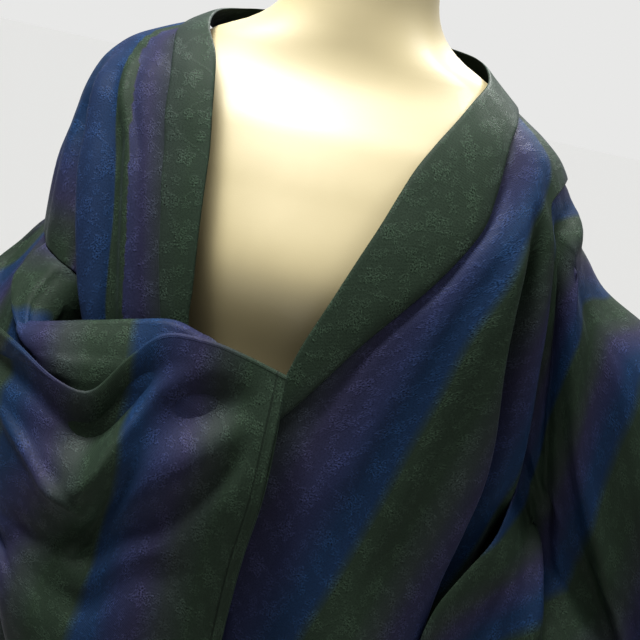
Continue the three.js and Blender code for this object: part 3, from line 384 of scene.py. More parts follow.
LEFT_FRONT_FACE = SleeveFace(LEFT_FRONT_OPENING, LEFT_FRONT_BOTTOM[-1], LEFT_TOP,
                             LEFT_FRONT_BOTTOM, LEFT_FRONT_CUFF, LEFT_SLEEVE_FOLDS, -1, 0.03)
LEFT_BACK_FACE = SleeveFace(LEFT_BACK_OPENING, LEFT_FRONT_BOTTOM[-1], LEFT_TOP,
                            LEFT_BACK_BOTTOM, LEFT_BACK_CUFF, LEFT_SLEEVE_BACK_FOLDS, 1, 0.03)
RIGHT_OUTER_FACE = SleeveFace(RIGHT_OUTER_OPENING, RIGHT_OUTER_BOTTOM[0], RIGHT_OUTER_LIP,
                              RIGHT_OUTER_BOTTOM, RIGHT_OUTER_CUFF, RIGHT_SLEEVE_FOLDS)
RIGHT_INNER_FACE = SleeveFace(RIGHT_INNER_OPENING, RIGHT_INNER_BOTTOM[0], RIGHT_INNER_LIP,
                              RIGHT_INNER_BOTTOM, RIGHT_INNER_CUFF)


def through(xs: np.ndarray, ys: np.ndarray, x: np.ndarray | float) -> np.ndarray:
    """The height at x of a smooth curve through the points (xs, ys), level past its ends.

    Cubic Hermite pieces, with each slope taken from the two neighbouring points.

    Args:
        xs: rising places of the points.
        ys: their heights, one number or one row each.
        x: where to read the curve.

    Returns:
        One height or row for each x.
    """
    xs = np.asarray(xs, float)
    ys = np.asarray(ys, float)
    x = np.asarray(x, float)
    n = len(xs)
    k = np.arange(n)
    before = np.maximum(k - 1, 0)
    after = np.minimum(k + 1, n - 1)
    run = (xs[after] - xs[before]).reshape(-1, *([1] * (ys.ndim - 1)))
    slope = (ys[after] - ys[before]) / run
    i = np.clip(np.searchsorted(xs, x, side="left") - 1, 0, n - 2)
    width = xs[i + 1] - xs[i]
    s = np.clip((x - xs[i]) / width, 0, 1)
    rest = (1,) * (ys.ndim - 1)
    width = width.reshape(width.shape + rest)
    s = s.reshape(s.shape + rest)
    start = ys[i] * (1 + 2 * s) * (1 - s) ** 2 + slope[i] * width * s * (1 - s) ** 2
    end = ys[i + 1] * s * s * (3 - 2 * s) - slope[i + 1] * width * s * s * (1 - s)
    return start + end


def ease(x: np.ndarray | float, low: float, high: float) -> np.ndarray:
    """Rises smoothly from 0 at low to 1 at high, as 3s^2 - 2s^3."""
    s = np.clip((np.asarray(x, float) - low) / (high - low), 0, 1)
    return s * s * (3 - 2 * s)


def unit(vectors: np.ndarray) -> np.ndarray:
    """Each vector divided by its length."""
    return vectors / np.maximum(np.linalg.norm(vectors, axis=-1, keepdims=True), 1e-9)


def mix(start: np.ndarray | float, end: np.ndarray | float, share: np.ndarray) -> np.ndarray:
    """From start at share 0 to end at share 1, as start (1 - share) + end share."""
    return start * (1 - share) + end * share


def on_ring(angle: np.ndarray, z: np.ndarray) -> np.ndarray:
    """Points of the coat's rings: x = half * |sin|^0.8 and y = -depth * |cos|^0.8, signs kept.

    Args:
        angle: degrees from the front centre.
        z: height.

    Returns:
        Points in millimetres.
    """
    angle, z = np.broadcast_arrays(np.asarray(angle, float), np.asarray(z, float))
    sine = np.sin(np.radians(angle))
    cosine = np.cos(np.radians(angle))
    half = np.where(angle < 0, COAT.at("right", z), COAT.at("left", z))
    depth = np.where(cosine > 0, COAT.at("front", z), COAT.at("back", z))
    x = half * np.sign(sine) * np.abs(sine) ** ROUND
    y = -depth * np.sign(cosine) * np.abs(cosine) ** ROUND
    return np.stack([x, y, z], -1)


def out_of_ring(angle: np.ndarray, z: np.ndarray) -> np.ndarray:
    """The direction straight out of the coat's surface, from small steps round and along it.

    Args:
        angle: degrees from the front centre.
        z: height.

    Returns:
        One unit vector for each place.
    """
    step = 1.5
    low = np.minimum(z, COAT["z"][-1] - step)
    along = on_ring(angle, low + step) - on_ring(angle, low - step)
    round_it = on_ring(angle + step, low) - on_ring(angle - step, low)
    return unit(np.cross(round_it, along))


def fold_height(
    folds: Iterable[Fold], angle: np.ndarray, z: np.ndarray, sign: np.ndarray
) -> np.ndarray:
    """The folds' heights at places of the body, each a bell across its path.

    Args:
        folds: the ridges and grooves of one side.
        angle: the angle from the front centre, without its sign.
        z: the height.
        sign: 1 on the wearer's left and -1 on the right.

    Returns:
        Millimetres along the surface's normal.
    """
    here = on_ring(sign * angle, z)
    total = np.zeros(np.broadcast(angle, z).shape)
    for fold in folds:
        bottom, top = fold.along[0], fold.along[-1]
        path = through(fold.along, fold.across, np.clip(z, bottom, top))
        away = np.linalg.norm(here - on_ring(sign * path, z), axis=-1)
        width = np.where(angle < path, fold.near, fold.far)
        half = fold.fade / 2
        fade_in = 1.0 if bottom <= COAT["z"][0] else ease(z, bottom - half, bottom + half)
        fade_out = 1 - ease(z, top - half, top + half)
        total = total + fold.height * fade_in * fade_out * np.exp(-((away / width) ** 2))
    return total


def ripple(angle: np.ndarray, z: np.ndarray) -> np.ndarray:
    """Soft unevenness of worn silk: four slow waves of unlike length, lean and height.

    Args:
        angle: degrees from the front centre.
        z: height.

    Returns:
        Millimetres along the surface's normal, 1 at the most.
    """
    a = np.radians(angle)
    waves = 0.42 * np.sin(11.3 * a + z / 61 + 0.7) * np.sin(z / 118 + 2.1 * a)
    waves = waves + 0.30 * np.sin(23.1 * a - z / 87 + 1.9) * np.sin(z / 173 + 0.4)
    waves = waves + 0.18 * np.sin(39.7 * a + z / 43 + 4.2) * np.sin(z / 71 + 3.3 * a)
    return waves + 0.10 * np.sin(57.3 * a - z / 29 + 0.3)


def on_body(
    side: Side, angle: np.ndarray, z: np.ndarray, lift: np.ndarray | float
) -> np.ndarray:
    """Points of a body layer.

    The upper front follows the folds of the one under it. The under front sinks below the
    upper one, and loses its folds past the middle.

    Args:
        side: the panel's side.
        angle: degrees from the front centre, the wearer's left positive.
        z: height.
        lift: height above the rings.

    Returns:
        Points in millimetres.
    """
    angle, z = np.broadcast_arrays(np.asarray(angle, float), np.asarray(z, float))
    own = np.abs(angle)
    sign = np.where(angle > 0, 1.0, -1.0)
    left = fold_height(LEFT_FOLDS + LEFT_CREASES, own, z, sign)
    right = fold_height(RIGHT_FOLDS + RIGHT_CREASES, own, z, sign)
    raised = (np.where(angle > 0, left, right) + ripple(angle, z)) * ease(own, *FOLD_START)
    sunk = 0.0
    if side is Side.RIGHT:
        hidden = ease(angle, *HIDDEN_ANGLE)
        crossed = (1 - ease(own, *CROSSED_ANGLE)) * (1 - ease(z, *CROSSED_Z))
        raised = raised * (1 - hidden)
        sunk = UNDER_DROP * crossed + HIDDEN_DROP * hidden
    height = lift - sunk + raised
    return on_ring(angle, z) + out_of_ring(angle, z) * np.asarray(height)[..., None]


@dataclass(frozen=True)
class Curve:
    """A smooth curve through points in space, read by the share of its length."""

    points: np.ndarray

    def at(self, share: np.ndarray | float) -> np.ndarray:
        """Points at shares of the way along the straight lines between the given points.

        Args:
            share: 0 at the first point to 1 at the last.

        Returns:
            One point for each share.
        """
        run = lengths_along(self.points, 0)
        return through(run, self.points, np.asarray(share, float) * run[-1])


def lengths_along(grid: np.ndarray, axis: int) -> np.ndarray:
    """Distance run along one axis of a line or grid of points.

    Args:
        grid: the points.
        axis: 0 down the rows, 1 across the columns.

    Returns:
        Each point's distance from the first one of its line.
    """
    steps = np.linalg.norm(np.diff(grid, axis=axis), axis=-1)
    start = np.zeros_like(np.take(steps, [0], axis=axis))
    return np.concatenate([start, np.cumsum(steps, axis=axis)], axis=axis)


def ring_quads(rows: int, cols: int, closed: bool = False) -> np.ndarray:
    """Faces of a grid of points whose rows are rings.

    Args:
        rows: how many rings.
        cols: how many points in each.
        closed: whether the last ring joins the first.

    Returns:
        Point numbers, four a face.
    """
    i = np.arange(rows if closed else rows - 1)[:, None]
    j = np.arange(cols)[None, :]
    up, after = (i + 1) % rows, (j + 1) % cols
    quads = np.stack([i * cols + j, i * cols + after, up * cols + after, up * cols + j], -1)
    return quads.reshape(-1, 4)


@dataclass
class Cloth:
    """A closed wall of cloth between two grids, with rounded edges.

    Each point has its distance across the cloth and along it, its place in the stripes and its
    distance from the hem, all in millimetres.
    """

    name: str
    outer: np.ndarray
    inner: np.ndarray
    stripe: np.ndarray
    across: np.ndarray
    along: np.ndarray
    hem: np.ndarray
    loop: bool = False

    def build(self, material: bpy.types.Material) -> bpy.types.Object:
        """Makes the mesh: outer face, inner face and a rounded rim between them.

        Args:
            material: the cloth's finish.

        Returns:
            The new object, in metres, at the origin.
        """
        places = np.stack([self.across, self.along, self.stripe, self.hem], -1)
        shape = self._ringed(places) if self.loop else self._flat(places)
        return make_object(self.name, *shape, material)

    def area(self) -> float:
        """The area of the cloth's middle surface, from its faces' diagonals.

        Returns:
            Square metres.
        """
        middle = (self.outer + self.inner) / 2
        if self.loop:
            middle = np.concatenate([middle, middle[:, :1]], 1)
        a, b = middle[:-1, :-1], middle[1:, :-1]
        c, d = middle[1:, 1:], middle[:-1, 1:]
        return float(np.linalg.norm(np.cross(c - a, d - b), axis=-1).sum() / 2) * METRE**2

    def _flat(self, places: np.ndarray) -> tuple[np.ndarray, np.ndarray, np.ndarray]:
        """A panel with four free edges.

        Each cross row is a closed loop of points: the outer ones, one past the far edge, the
        inner ones back, and one before the near edge. A line of points closes each end.

        Args:
            places: each point's four distances.

        Returns:
            Points, faces and each point's distances.
        """
        outer, inner = self.outer, self.inner
        rows, cols = outer.shape[:2]
        half = np.linalg.norm(outer - inner, axis=-1)[..., None] / 2

        def rim(edge: object, beside: object) -> np.ndarray:
            """An edge's middle line, moved out by half of the thickness.

            Args:
                edge: the index of the edge's row or column.
                beside: the index of the one beside it.

            Returns:
                The line of points.
            """
            away = unit(outer[edge] - outer[beside])
            return (outer[edge] + inner[edge]) / 2 + away * half[edge]

        far = rim(np.s_[:, -1], np.s_[:, -2])[:, None]
        near = rim(np.s_[:, 0], np.s_[:, 1])[:, None]
        loop = np.concatenate([outer, far, inner[:, ::-1], near], 1)
        width = loop.shape[1]
        whole = np.concatenate([places, places[:, -1:], places[:, ::-1], places[:, :1]], 1)
        verts = [loop.reshape(-1, 3)]
        faces = [ring_quads(rows, width)]
        maps = [whole.reshape(-1, 4)]
        for end, (row, beside) in enumerate(((0, 1), (rows - 1, rows - 2))):
            verts.append(rim(row, beside))
            maps.append(places[row])
            top = row * width + np.arange(cols)
            low = row * width + (2 * cols - np.arange(cols))
            mid = rows * width + end * cols + np.arange(cols)
            part = np.concatenate([
                np.stack([top[:-1], mid[:-1], mid[1:], top[1:]], -1),
                np.stack([mid[:-1], low[:-1], low[1:], mid[1:]], -1),
                [[top[0], row * width + width - 1, low[0], mid[0]]],
                [[top[-1], mid[-1], low[-1], row * width + cols]],
            ])
            faces.append(part[:, ::-1] if end else part)
        return np.concatenate(verts), np.concatenate(faces), np.concatenate(maps)

    def _ringed(self, places: np.ndarray) -> tuple[np.ndarray, np.ndarray, np.ndarray]:
        """A tube whose rows are loops already, open at its first and last row.

        Args:
            places: each point's four distances.

        Returns:
            Points, faces and each point's distances.
        """
        outer, inner = self.outer, self.inner
        rows, cols = outer.shape[:2]
        first = (outer[0] + inner[0]) / 2 + unit(outer[0] - outer[1]) * CLOTH / 2
        last = (outer[-1] + inner[-1]) / 2 + unit(outer[-1] - outer[-2]) * CLOTH / 2
        strips = np.concatenate([outer, last[None], inner[::-1], first[None]], 0)
        pick = np.concatenate([np.arange(rows), [rows - 1], np.arange(rows)[::-1], [0]])
        quads = ring_quads(len(strips), cols, closed=True)
        return strips.reshape(-1, 3), quads, places[pick].reshape(-1, 4)


def make_object(
    name: str, verts: np.ndarray, faces: np.ndarray, maps: np.ndarray | None,
    material: bpy.types.Material,
) -> bpy.types.Object:
    """Puts points and four-sided faces into a mesh, smooth, with its faces outward.

    Args:
        name: the piece's name.
        verts: points in millimetres.
        faces: point numbers, four a face.
        maps: each point's place across, along, in the stripes and from the hem, or None.
        material: its finish.

    Returns:
        The object, linked to the scene.
    """
    a, b, c, d = (verts[faces[:, k]] for k in range(4))
    volume = np.einsum("ij,ij->", a, np.cross(b, c)) + np.einsum("ij,ij->", a, np.cross(c, d))
    if volume < 0:
        faces = faces[:, ::-1]
    mesh = bpy.data.meshes.new(name)
    mesh.vertices.add(len(verts))
    mesh.vertices.foreach_set("co", (verts * METRE).astype(np.float32).ravel())
    mesh.loops.add(faces.size)
    mesh.loops.foreach_set("vertex_index", faces.astype(np.int32).ravel())
    mesh.polygons.add(len(faces))
    mesh.polygons.foreach_set("loop_start", np.arange(0, faces.size, 4, dtype=np.int32))
    mesh.polygons.foreach_set("use_smooth", np.ones(len(faces), bool))
    if maps is not None:
        corners = maps[faces.ravel()] * METRE
        for layer_name, pair in (("cloth", corners[:, :2]), ("dye", corners[:, 2:])):
            layer = mesh.uv_layers.new(name=layer_name)
            layer.data.foreach_set("uv", pair.astype(np.float32).ravel())
    mesh.update(calc_edges=True)
    mesh.validate()
    mesh.materials.append(material)
    piece = bpy.data.objects.new(name, mesh)
    bpy.context.scene.collection.objects.link(piece)
    return piece


class Socket:
    """A node's output in an expression. Its operators add Math nodes."""

    def __init__(self, tree: bpy.types.NodeTree, link: bpy.types.NodeSocket) -> None:
        """Wraps one output of a material's node tree."""
        self.tree = tree
        self.link = link

    def _math(self, operation: str, *values: Socket | float) -> Socket:
        """One Math node of this operation on the values."""
        inputs = dict(enumerate(values))
        return add_node(self.tree, "ShaderNodeMath", {"operation": operation}, inputs)

    def __add__(self, other: Socket | float) -> Socket:
        """Sum."""
        return self._math("ADD", self, other)

    def __radd__(self, other: float) -> Socket:
        """Sum, number first."""
        return self._math("ADD", other, self)

    def __sub__(self, other: Socket | float) -> Socket:
        """Difference."""
        return self._math("SUBTRACT", self, other)

    def __rsub__(self, other: float) -> Socket:
        """Difference, number first."""
        return self._math("SUBTRACT", other, self)

    def __mul__(self, other: Socket | float) -> Socket:
        """Product."""
        return self._math("MULTIPLY", self, other)

    def __rmul__(self, other: float) -> Socket:
        """Product, number first."""
        return self._math("MULTIPLY", other, self)

    def __truediv__(self, other: Socket | float) -> Socket:
        """Quotient."""
        return self._math("DIVIDE", self, other)

    def call(self, operation: str, *values: Socket | float) -> Socket:
        """A Math operation with no operator of its own, such as SINE or FRACT."""
        return self._math(operation, self, *values)

    def step(self, low: float, high: float) -> Socket:
        """A smooth step.

        Args:
            low: where it starts to rise from 0.
            high: where it reaches 1.

        Returns:
            The step.
        """
        inputs = {"Value": self, "From Min": low, "From Max": high}
        smooth = {"interpolation_type": "SMOOTHSTEP"}
        return add_node(self.tree, "ShaderNodeMapRange", smooth, inputs)


def fill(
    tree: bpy.types.NodeTree, node: bpy.types.Node, inputs: dict[str | int, object]
) -> None:
    """Links a node's inputs to expressions and sets the others to their values.

    Args:
        tree: the material's nodes.
        node: the node.
        inputs: expressions or values by socket name or number.
    """
    for key, value in inputs.items():
        if isinstance(value, Socket):
            tree.links.new(value.link, node.inputs[key])
        else:
            node.inputs[key].default_value = value


def add_node(
    tree: bpy.types.NodeTree,
    kind: str,
    settings: dict[str, object] | None = None,
    inputs: dict[str | int, object] | None = None,
    output: str | int = 0,
) -> Socket:
    """Adds a node, with its settings first and then its inputs.

    Args:
        tree: the material's nodes.
        kind: the node's type.
        settings: its settings; stops is a list of (place, colour) for a ramp.
        inputs: values or links by socket name or number.
        output: the socket to hand back.

    Returns:
        That output, ready for expressions.
    """
    node = tree.nodes.new(kind)
    for key, value in (settings or {}).items():
        if key == "stops":
            ramp = node.color_ramp
            while len(ramp.elements) < len(value):
                ramp.elements.new(0.5)
            for element, (place, colour) in zip(ramp.elements, value):
                element.position = place
                element.color = (*colour, 1)
        else:
            setattr(node, key, value)
    fill(tree, node, inputs or {})
    return Socket(tree, node.outputs[output])


def split(tree: bpy.types.NodeTree, place: Socket) -> tuple[Socket, Socket]:
    """The first two parts of a vector.

    Args:
        tree: the material's nodes.
        place: the vector.

    Returns:
        Both parts, ready for expressions.
    """
    node = tree.nodes.new("ShaderNodeSeparateXYZ")
    fill(tree, node, {0: place})
    return Socket(tree, node.outputs[0]), Socket(tree, node.outputs[1])


def noise_at(tree: bpy.types.NodeTree, place: Socket, scale: float, detail: float) -> Socket:
    """Noise at a place, around 0.5."""
    inputs = {"Vector": place, "Scale": scale, "Detail": detail}
    return add_node(tree, "ShaderNodeTexNoise", {}, inputs)


def linear(colour: Colour) -> tuple[float, float, float]:
    """A screen colour as linear light.

    Args:
        colour: red, green and blue, 0 to 255.

    Returns:
        The same as shares of full light.
    """
    share = np.array(colour) / 255
    low = share / 12.92
    high = ((share + 0.055) / 1.055) ** 2.4
    return tuple(float(x) for x in np.where(share <= 0.04045, low, high))


def new_material(name: str) -> tuple[bpy.types.Material, bpy.types.NodeTree, bpy.types.Node]:
    """A material with one Principled surface.

    Args:
        name: the material's name.

    Returns:
        The material, its tree and the surface's node.
    """
    material = bpy.data.materials.new(name)
    material.use_nodes = True
    tree = material.node_tree
    return material, tree, tree.nodes["Principled BSDF"]


@dataclass(frozen=True)
class StripedSilk:
    """Figured silk: shaded stripes along the cloth, woven flowers and a fine crepe grain."""

    name: str = "striped_silk"
    green: Colour = (17, 25, 18)
    grey: Colour = (20, 24, 24)
    purple: Colour = (20, 20, 34)
    indigo: Colour = (16, 20, 38)
    blue: Colour = (8, 21, 39)
    motif: float = 0.03  # metres from one large blossom to the next
    vines: float = 0.047  # metres from one stem to the next
    grain: float = 820.0  # crepe grains in a metre
    twill: tuple[float, float] = (5200.0, 4300.0)  # its ribs' turn, in radians a metre
    wander: float = 0.05  # how far the stripes' edges wander, in repeats
    roughness: float = 0.58
    relief: float = 0.0003  # metres

    def _ramp(self) -> list[tuple[float, tuple[float, float, float]]]:
        """The stops of one repeat, from the quick change through green to blue again.

        Returns:
            Each stop's place in the repeat and its colour as linear light.
        """
        stops = [(0.0, self.blue), (0.07, self.green), (0.30, self.green), (0.46, self.grey),
                 (0.60, self.purple), (0.76, self.indigo), (0.90, self.blue), (1.0, self.blue)]
        return [(place, linear(colour)) for place, colour in stops]

    def _flowers(
        self, tree: bpy.types.NodeTree, x: Socket, y: Socket, size: float, turn: float
    ) -> Socket:
        """Woven blossoms, one in each cell of a staggered lattice.

        In a cell's polar place, a blossom is inside r = 0.23 + 0.06 cos(5 a + turn), with a
        bright line 0.05 inside its edge, ten veins and a round eye.

        Args:
            tree: the material's nodes.
            x: the cloth's place across, in metres.
            y: the cloth's place along, in metres.
            size: the lattice's pitch in metres.
            turn: what is added to 5 times the angle, in radians.

        Returns:
            1 inside the figure, 0 outside.
        """
        row = (y / size).call("FLOOR")
        across = (x / size + row * 0.5).call("FRACT") - 0.5
        down = (y / size).call("FRACT") - 0.5
        radius = (across * across + down * down).call("SQRT")
        angle = down.call("ARCTAN2", across)
        edge = 0.23 + 0.06 * (angle * 5 + turn).call("COSINE")
        petals = (edge - radius).step(-0.012, 0.012)
        vein = ((angle * 10 + turn * 2).call("COSINE") - 0.82).step(-0.08, 0.08)
        line = 1 - (edge - radius - 0.05).call("ABSOLUTE").step(0.008, 0.03)
        eye = 1 - radius.step(0.05, 0.07)
        return (petals * (0.45 + 0.3 * vein + 0.5 * line) + eye * 0.6).call("MINIMUM", 1.0)

    def _vines(self, x: Socket, y: Socket) -> Socket:
        """Thin scrolling stems along slow sines, with round leaves where two sines meet.

        Args:
            x: the cloth's place across, in metres.
            y: the cloth's place along, in metres.

        Returns:
            0.55 on a stem and 0.8 on a leaf, added where both meet, and 0 outside.
        """
        centre = x / self.vines + 0.34 * (y * 96).call("SINE")
        stem = 1 - ((centre.call("FRACT") - 0.5).call("ABSOLUTE")).step(0.02, 0.05)
        leaf = ((y * 192).call("SINE") * (x * 268 + y * 31).call("SINE") - 0.66).step(-0.04, 0.05)
        return (stem * 0.55 + leaf * 0.8).call("MINIMUM", 1.0)

    def make(self) -> bpy.types.Material:
        """Builds the material on the cloth's two maps, in metres.

        The map cloth holds the places across and along, for the weave; the map dye holds the
        place in the stripes and the distance from the hem, where the hem line is a groove
        with painted shade.

        Returns:
            The material.
        """
        material, tree, surface = new_material(self.name)
        place = add_node(tree, "ShaderNodeUVMap", {"uv_map": "cloth"})
        x, y = split(tree, place)
        stripe, hem = split(tree, add_node(tree, "ShaderNodeUVMap", {"uv_map": "dye"}))
        wander = noise_at(tree, place, 7.0, 1.0)
        repeat = stripe / (STRIPE * METRE) + (wander - 0.5) * self.wander
        colour = add_node(
            tree, "ShaderNodeValToRGB", {"stops": self._ramp()}, {"Fac": repeat.call("FRACT")}
        )
        big = self._flowers(tree, x + 0.013, y, self.motif, 0.4)
        small = self._flowers(tree, x + 0.047, y + 0.029, self.motif * 0.55, 1.7)
        figure = (big + small * 0.7 + self._vines(x, y) * 0.7).call("MINIMUM", 1.0)
        grain = noise_at(tree, place, self.grain, 0.0)
        # painted shade: along the hem line the colour is darkened by half, as shade in its groove;
        # the groove in the relief below is real
        line = 1 - (hem - HEM_SHADE_LINE * METRE).call("ABSOLUTE").step(0.0003, 0.0012)
        twill = ((x * self.twill[0] + y * self.twill[1]).call("SINE")) * 0.5 + 0.5
        speckle = (grain - 0.5) * (0.5 + 1.8 * figure)
        # the woven figure and the grain set the tone; the hem line's factor is painted shade
        bright = (0.86 + 0.3 * figure + 1.4 * speckle) * (1 - 0.5 * line)
        shade = add_node(tree, "ShaderNodeCombineXYZ", {}, {0: bright, 1: bright, 2: bright})
        multiply = {"data_type": "RGBA", "blend_type": "MULTIPLY"}
        height = figure * 0.4 + grain * (0.5 + figure) + twill * 0.3 - line * 3.0
        relief = {"Strength": 0.5, "Distance": self.relief, "Height": height}
        fill(tree, surface, {
            "Base Color": add_node(
                tree, "ShaderNodeMix", multiply, {"Factor": 1.0, 6: colour, 7: shade}, 2
            ),
            "Roughness": self.roughness - 0.1 * figure + 0.2 * (grain - 0.5),
            "Normal": add_node(tree, "ShaderNodeBump", {}, relief),
            "Sheen Weight": 0.01,
            "Sheen Roughness": 0.35,
            "Sheen Tint": (0.5, 0.6, 0.8, 1),
            "Specular IOR Level": 0.06,
            "IOR": 1.3,
        })
        return material


@dataclass(frozen=True)
class PlainFinish:
    """A plain surface with a faint mottle, a trace of unevenness in its gloss and a fine grain."""

    name: str
    colour: Colour
    roughness: float
    metallic: float = 0.0
    coat: float = 0.0
    scale: float = 30.0  # blotches in a metre
    mottle: float = 0.1  # how much darker the blotches are, as a share
    grain: float = 1400.0  # grains in a metre
    relief: float = 0.00015  # metres
    uneven: float = 0.08  # how much the roughness changes

    def make(self) -> bpy.types.Material:
        """Builds it: a slow noise shades colour and gloss, and a fine one makes the relief.

        Returns:
            The material.
        """
        material, tree, surface = new_material(self.name)
        place = add_node(tree, "ShaderNodeTexCoord", {}, {}, "Object")
        noise = noise_at(tree, place, self.scale, 2.0)
        light = linear(self.colour)
        deep = tuple(part * (1 - self.mottle) for part in light)
        colours = {"Factor": noise, 6: (*deep, 1), 7: (*light, 1)}
        fine = noise_at(tree, place, self.grain, 2.0)
        relief = {"Strength": 0.3, "Distance": self.relief, "Height": fine}
        fill(tree, surface, {
            "Base Color": add_node(tree, "ShaderNodeMix", {"data_type": "RGBA"}, colours, 2),
            "Roughness": self.roughness + self.uneven * (noise - 0.5),
            "Normal": add_node(tree, "ShaderNodeBump", {}, relief),
            "Metallic": self.metallic,
            "Coat Weight": self.coat,
        })
        return material


def row_places(table: Table, fine: int, tallest: float = 60.0) -> np.ndarray:
    """Places along a table in row numbers: fine steps a row, more where rows lie far apart.

    Args:
        table: the rows, with their heights as innerZ.
        fine: steps from one row to the next.
        tallest: the height in millimetres that these steps are enough for.

    Returns:
        Row numbers with their fractions.
    """
    gap = np.abs(np.diff(table["innerZ"]))
    steps = np.maximum(fine, np.ceil(gap / tallest * fine)).astype(int)
    parts = [k + np.arange(n) / n for k, n in enumerate(steps)]
    return np.concatenate([*parts, [len(gap)]])


def row_at(table: Table, names: str, at: np.ndarray) -> list[np.ndarray]:
    """Some columns of a table, each a smooth curve read at row numbers with fractions."""
    index = np.arange(len(table.rows))
    return [through(index, table[name], at) for name in names.split()]


def degrees_for(length: float, angle: np.ndarray, z: np.ndarray) -> np.ndarray:
    """How many degrees a length of cloth takes at a place on the coat.

    Args:
        length: millimetres round the body.
        angle: degrees from the front centre, kept off the centre front and back.
        z: height.

    Returns:
        Degrees.
    """
    step = 2.0
    start = np.clip(angle, 2 * step, 180 - 2 * step)
    chord = np.linalg.norm(on_ring(start + step, z) - on_ring(start - step, z), axis=-1)
    return length * 2 * step / chord


def stripes_on_front(angle: np.ndarray, z: np.ndarray) -> np.ndarray:
    """The stripes on both fronts, counted in repeats.

    On the wearer's left it is (angle - quick change) / 43.8 degrees. On the right it runs
    evenly from the collar's seam to the pleat. Past the pleat it stays near -0.9 for a narrow
    strip, then near -1.07, and from 19 to 24 degrees on it eases to the side's own number.

    Args:
        angle: degrees, the wearer's left positive.
        z: height.

    Returns:
        The number of the repeat, with its fraction.
    """
    left = (angle - LEFT_CHANGE.at("angle", z)) / FRONT_REPEAT
    seam, pleat = RIGHT_SEAM.at("angle", z), RIGHT_PLEAT.at("angle", z)
    inner = -0.28 - 0.26 * (pleat + angle) / np.maximum(pleat - seam, 2)
    past = -angle - pleat
    outer = mix(-0.9 + past * 0.012, -1.07 - past * 0.006, ease(past, 4.5, 6.5))
    outer = mix(outer, RIGHT_SIDE.at("repeat", z), ease(past, 19, 24))
    return np.where(angle >= 0, left, np.where(past < 0, inner, outer))


def stripes_on_back(angle: np.ndarray) -> np.ndarray:
    """The stripes on the back in repeats, counted from the centre-back seam."""
    return (180 - np.abs(angle)) / BACK_REPEAT * np.sign(angle) + 0.12


@dataclass
class BodyPanel:
    """Half of the coat's body: one bolt width from the front hem over the shoulder to the back."""

    name: str
    side: Side
    skirt: Table
    collar: Table
    back: Table
    columns: int = 84
    fine: int = 7
    change: float = 0.3  # rows before and after the shoulder where the stripes change over

    def cloth(self) -> Cloth:
        """The panel's grids: each row runs in a straight line of angle and height.

        Returns:
            The panel.
        """
        rows = joined(PANEL, self.skirt, self.collar, self.back)
        at = row_places(rows, self.fine)
        inner_z, start, outer_z, end = (v[:, None] for v in row_at(rows, PANEL, at))
        first = len(self.skirt.rows)
        last = first + len(self.collar.rows) - 1
        under = ease(at, first, first + 1) * (1 - ease(at, last - 1, last))
        start = start - under[:, None] * degrees_for(TUCK, start, inner_z)
        start = np.minimum(start, CENTRE_BACK)
        u = np.linspace(0, 1, self.columns)[None, :]
        angle = self.side.value * mix(start, end, u)
        z = mix(inner_z, outer_z, u)
        outer = on_body(self.side, angle, z, CLEAR + CLOTH)
        inner = on_body(self.side, angle, z, CLEAR)
        ridge = first + RIDGE
        share = ease(at, ridge - self.change, ridge + self.change)[:, None]
        stripe = mix(stripes_on_front(angle, z), stripes_on_back(angle), share) * STRIPE
        along = lengths_along(outer, 0)
        hem = np.minimum(along, along[-1] - along)
        return Cloth(self.name, outer, inner, stripe, lengths_along(outer, 1), along, hem)


@dataclass
class OverlapPanel:
    """The narrow panel between a body panel's front edge and the collar, up to a point."""

    name: str
    side: Side
    skirt: Table
    collar: Table
    tip_drop: float = 4.0  # millimetres from the collar's first row down to the point
    point_gap: float = 1.2  # degrees from that row's seam back to the point
    point_width: float = 0.6  # the point's width, as a share of point_gap
    seam_turn: float = 0.25  # degrees from the body's edge to this panel's
    seam_side: float = 0.3  # degrees past the seam where its stripes are read from the body
    columns: int = 26
    fine: int = 7

    def cloth(self) -> Cloth:
        """The panel's grids, from the collar's seam to the body's, at level heights.

        Returns:
            The panel.
        """
        names = "innerZ seam inner"
        top = self.collar["inner"][0] - self.point_gap
        end_top = top + self.point_width * self.point_gap
        point = (self.collar["innerZ"][0] - self.tip_drop, top, end_top)
        rows = joined(names, self.skirt, Table(names, [point]))
        at = row_places(rows, self.fine)
        z, start, end = (v[:, None] for v in row_at(rows, names, at))
        u = np.linspace(0, 1, self.columns)[None, :]
        sign = self.side.value
        angle = sign * mix(start, end - self.seam_turn, u)
        z = z + 0 * u
        outer = on_body(self.side, angle, z, CLEAR + CLOTH)
        inner = on_body(self.side, angle, z, CLEAR)
        seam = stripes_on_front(sign * (end + self.seam_side), z)
        stripe = (sign * (angle - sign * end) / FRONT_REPEAT + seam) * STRIPE
        along = lengths_along(outer, 0)
        return Cloth(self.name, outer, inner, stripe, lengths_along(outer, 1), along, along)


